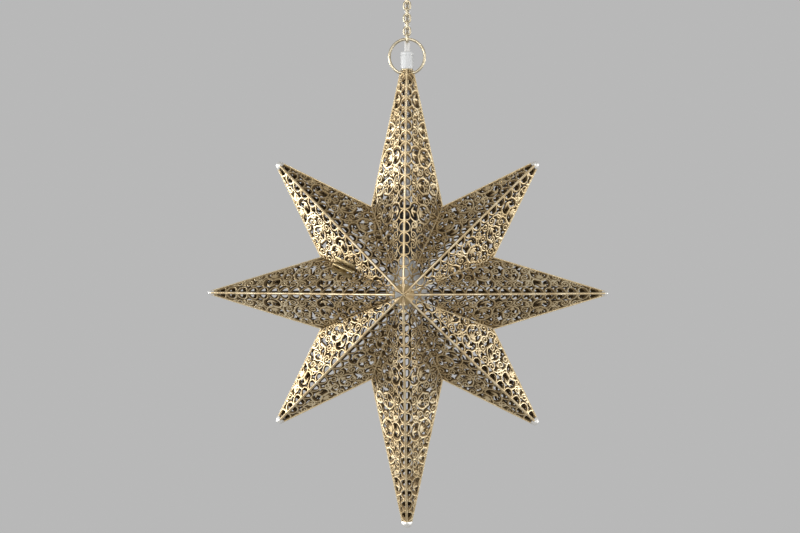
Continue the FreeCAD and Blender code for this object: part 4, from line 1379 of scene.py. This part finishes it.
def addHinge():
    notch = inPlane(sector * 3.5, star["notchReach"])
    valley = (frontPoint - notch).normalized()
    doorNormal, doorAcross = facetFrame(4, notch, valley)
    frameNormal, frameAcross = facetFrame(3, notch, valley)
    barrel = hinge["knuckleRadius"] + hinge["lift"]
    halfOpening = (math.pi - doorNormal.angle(frameNormal)) / 2
    foot = barrel / math.tan(halfOpening)
    start = notch + valley * hinge["fromNotch"]
    axis = start + (doorNormal + frameNormal).normalized() * (barrel / math.sin(halfOpening))
    length, overlap, thickness = hinge["length"], hinge["overlap"], hinge["leafThickness"]
    knuckle = (length - 2 * hinge["knuckleGap"]) / 3
    toAxis = Matrix.Translation(starMiddle + axis) @ valley.to_track_quat("Z", "X").to_matrix().to_4x4()

    def addLeaf(name, normal, across, stretches, body, node):
        near = foot + hinge["setBack"]
        far = near + hinge["leafWidth"]
        work = bmesh.new()
        parts = [(near, far, 0.0, length)] + [(foot - overlap, near + overlap, *run) for run in stretches]
        for a, b, low, high in parts:
            for vertex in bmesh.ops.create_cube(work, size=1)["verts"]:
                x = a + (b - a) * (vertex.co.x + 0.5)
                y = low + (high - low) * (vertex.co.y + 0.5)
                vertex.co = start + across * x + valley * y + normal * (thickness * (vertex.co.z + 0.5))
        bevelEdges(work, hinge["leafRound"], 2)
        turned, radius = normal.to_track_quat("Z", "X"), hinge["rivetRadius"]
        for share in hinge["rivetShares"]:
            place = start + across * (near + far) / 2 + valley * length * share
            place += normal * (thickness - hinge["rivetSunk"])
            rivet = bmesh.ops.create_uvsphere(work, u_segments=16, v_segments=8, radius=radius)["verts"]
            for vertex in rivet:
                local = vertex.co.copy()
                local.z = max(0, local.z) * hinge["rivetRise"] / radius
                vertex.co = place + turned @ local
            bmesh.ops.remove_doubles(work, verts=rivet, dist=1e-6)
        mesh = writeMesh(bpy.data.meshes.new(name), work, 40)
        addPiece(name, mesh, hingeBrass, body, [node], Matrix.Translation(starMiddle))
        inner, outer = hinge["pinRadius"] + hinge["pinPlay"], hinge["knuckleRadius"]
        for index, (low, high) in enumerate(stretches):
            profile = [(inner, low), (outer, low), (outer, high), (inner, high)]
            addTurned(name + "_knuckle_" + str(index + 1), profile, hingeBrass, body, place=toAxis,
                      rounding=0.0003, sides=40)

    outer = [(0, knuckle), (length - knuckle, length)]
    addLeaf("frame_leaf", frameNormal, frameAcross, outer, "star", "hinge_leaf_frame")
    middle = knuckle + hinge["knuckleGap"]
    addLeaf("door_leaf", doorNormal, doorAcross, [(middle, middle + knuckle)], "door", "hinge_leaf_door")
    pin, head, face = hinge["pinRadius"], hinge["headRadius"], hinge["headFace"]
    rise, edge = hinge["headHeight"], hinge["headEdge"]
    addTurned("hinge_rod", [
        (0, -rise), (face, -rise), (head, -edge), (head, 0), (pin, 0), (pin, length), (head, length),
        (head, length + edge), (face, length + rise), (0, length + rise),
    ], wireBrass, "door", ["hinge_pin"], toAxis, rounding=0.0002, sides=32)


addHinge()
print("hinge placed")

# the stage and the studio light: a pale floor that fades into the pale background
studio = {
    "floor": (0.72, 0.72, 0.72),
    "background": (0.48, 0.48, 0.48),
    "floorDrop": 1.6,  # under the star's middle
    "fadeStart": 1.6,
    "fadeEnd": 4.0,
    "world": 0.30,
    "reach": 30.0,
    "lamps": {  # heading from the star, distance, size, power
        "key": ((-1.0, 0.20, 0.0), 1.7, 1.1, 22),
        "fill": ((1.0, 0.10, 0.0), 1.9, 1.2, 14),
        "frontLeft": ((-0.60, -0.80, 0.05), 2.2, 0.7, 17),
        "frontRight": ((0.60, -0.80, -0.10), 2.2, 0.6, 6),
        "frontTop": ((0.05, -0.85, 0.50), 2.2, 0.7, 12),
    },
}


def seenDirectly(tree):
    # 1 for what the camera sees, also in metal and through glass
    seen = addNode(tree, "LightPath", (-900, 300)).outputs
    direct = {0: seen["Is Camera Ray"], 1: seen["Is Glossy Ray"]}
    direct = addNode(tree, "Math", (-700, 300), direct, operation="MAXIMUM")
    return addNode(tree, "Math", (-500, 300), {0: direct, 1: seen["Is Transmission Ray"]}, operation="MAXIMUM")


def addStage():
    floorHeight, reach = starHeight - studio["floorDrop"], studio["reach"]
    background = (*studio["background"], 1)
    mesh = bpy.data.meshes.new("floor")
    corners = [(-reach, -reach), (reach, -reach), (reach, reach), (-reach, reach)]
    mesh.from_pydata([(x, y, floorHeight) for x, y in corners], [], [(0, 1, 2, 3)])
    material, tree, shader = newMaterial("paleFloor")
    feed(tree, shader, {"Base Color": (*studio["floor"], 1), "Roughness": 0.9, "Specular IOR Level": 0.1})
    place = addNode(tree, "TexCoord", (-900, -200)).outputs["Object"]
    away = addNode(tree, "VectorMath", (-700, -200), {0: place}, operation="LENGTH")
    fade = {"From Min": studio["fadeStart"], "From Max": studio["fadeEnd"], "Value": away}
    fade = addNode(tree, "MapRange", (-500, -200), fade, interpolation_type="SMOOTHSTEP")
    share = addNode(tree, "Math", (-300, 0), {0: seenDirectly(tree), 1: fade}, operation="MULTIPLY")
    glow = addNode(tree, "Emission", (-100, -300), {"Color": background})
    mix = addNode(tree, "MixShader", (300, 0), {"Fac": share, 1: shader, 2: glow})
    feed(tree, tree.nodes["Material Output"], {"Surface": mix})
    addMeshObject("floor", mesh, material)
    world = bpy.data.worlds.new("studio")
    bpy.context.scene.world = world
    world.use_nodes = True
    tree = world.node_tree
    tone = mixColour(tree, (-200, 0), seenDirectly(tree), (*[studio["world"]] * 3, 1), background)
    feed(tree, tree.nodes["Background"], {"Color": tone})
    bpy.context.scene.view_settings.view_transform = "Standard"


def addLamps():
    for name, (heading, distance, size, power) in studio["lamps"].items():
        data = bpy.data.lights.new(name, "AREA")
        data.shape = "DISK"
        data.size = size
        data.energy = power
        addAimed(data, Vector(heading).normalized(), distance, starMiddle).visible_camera = False


addStage()
addLamps()
print("stage and lamps placed")
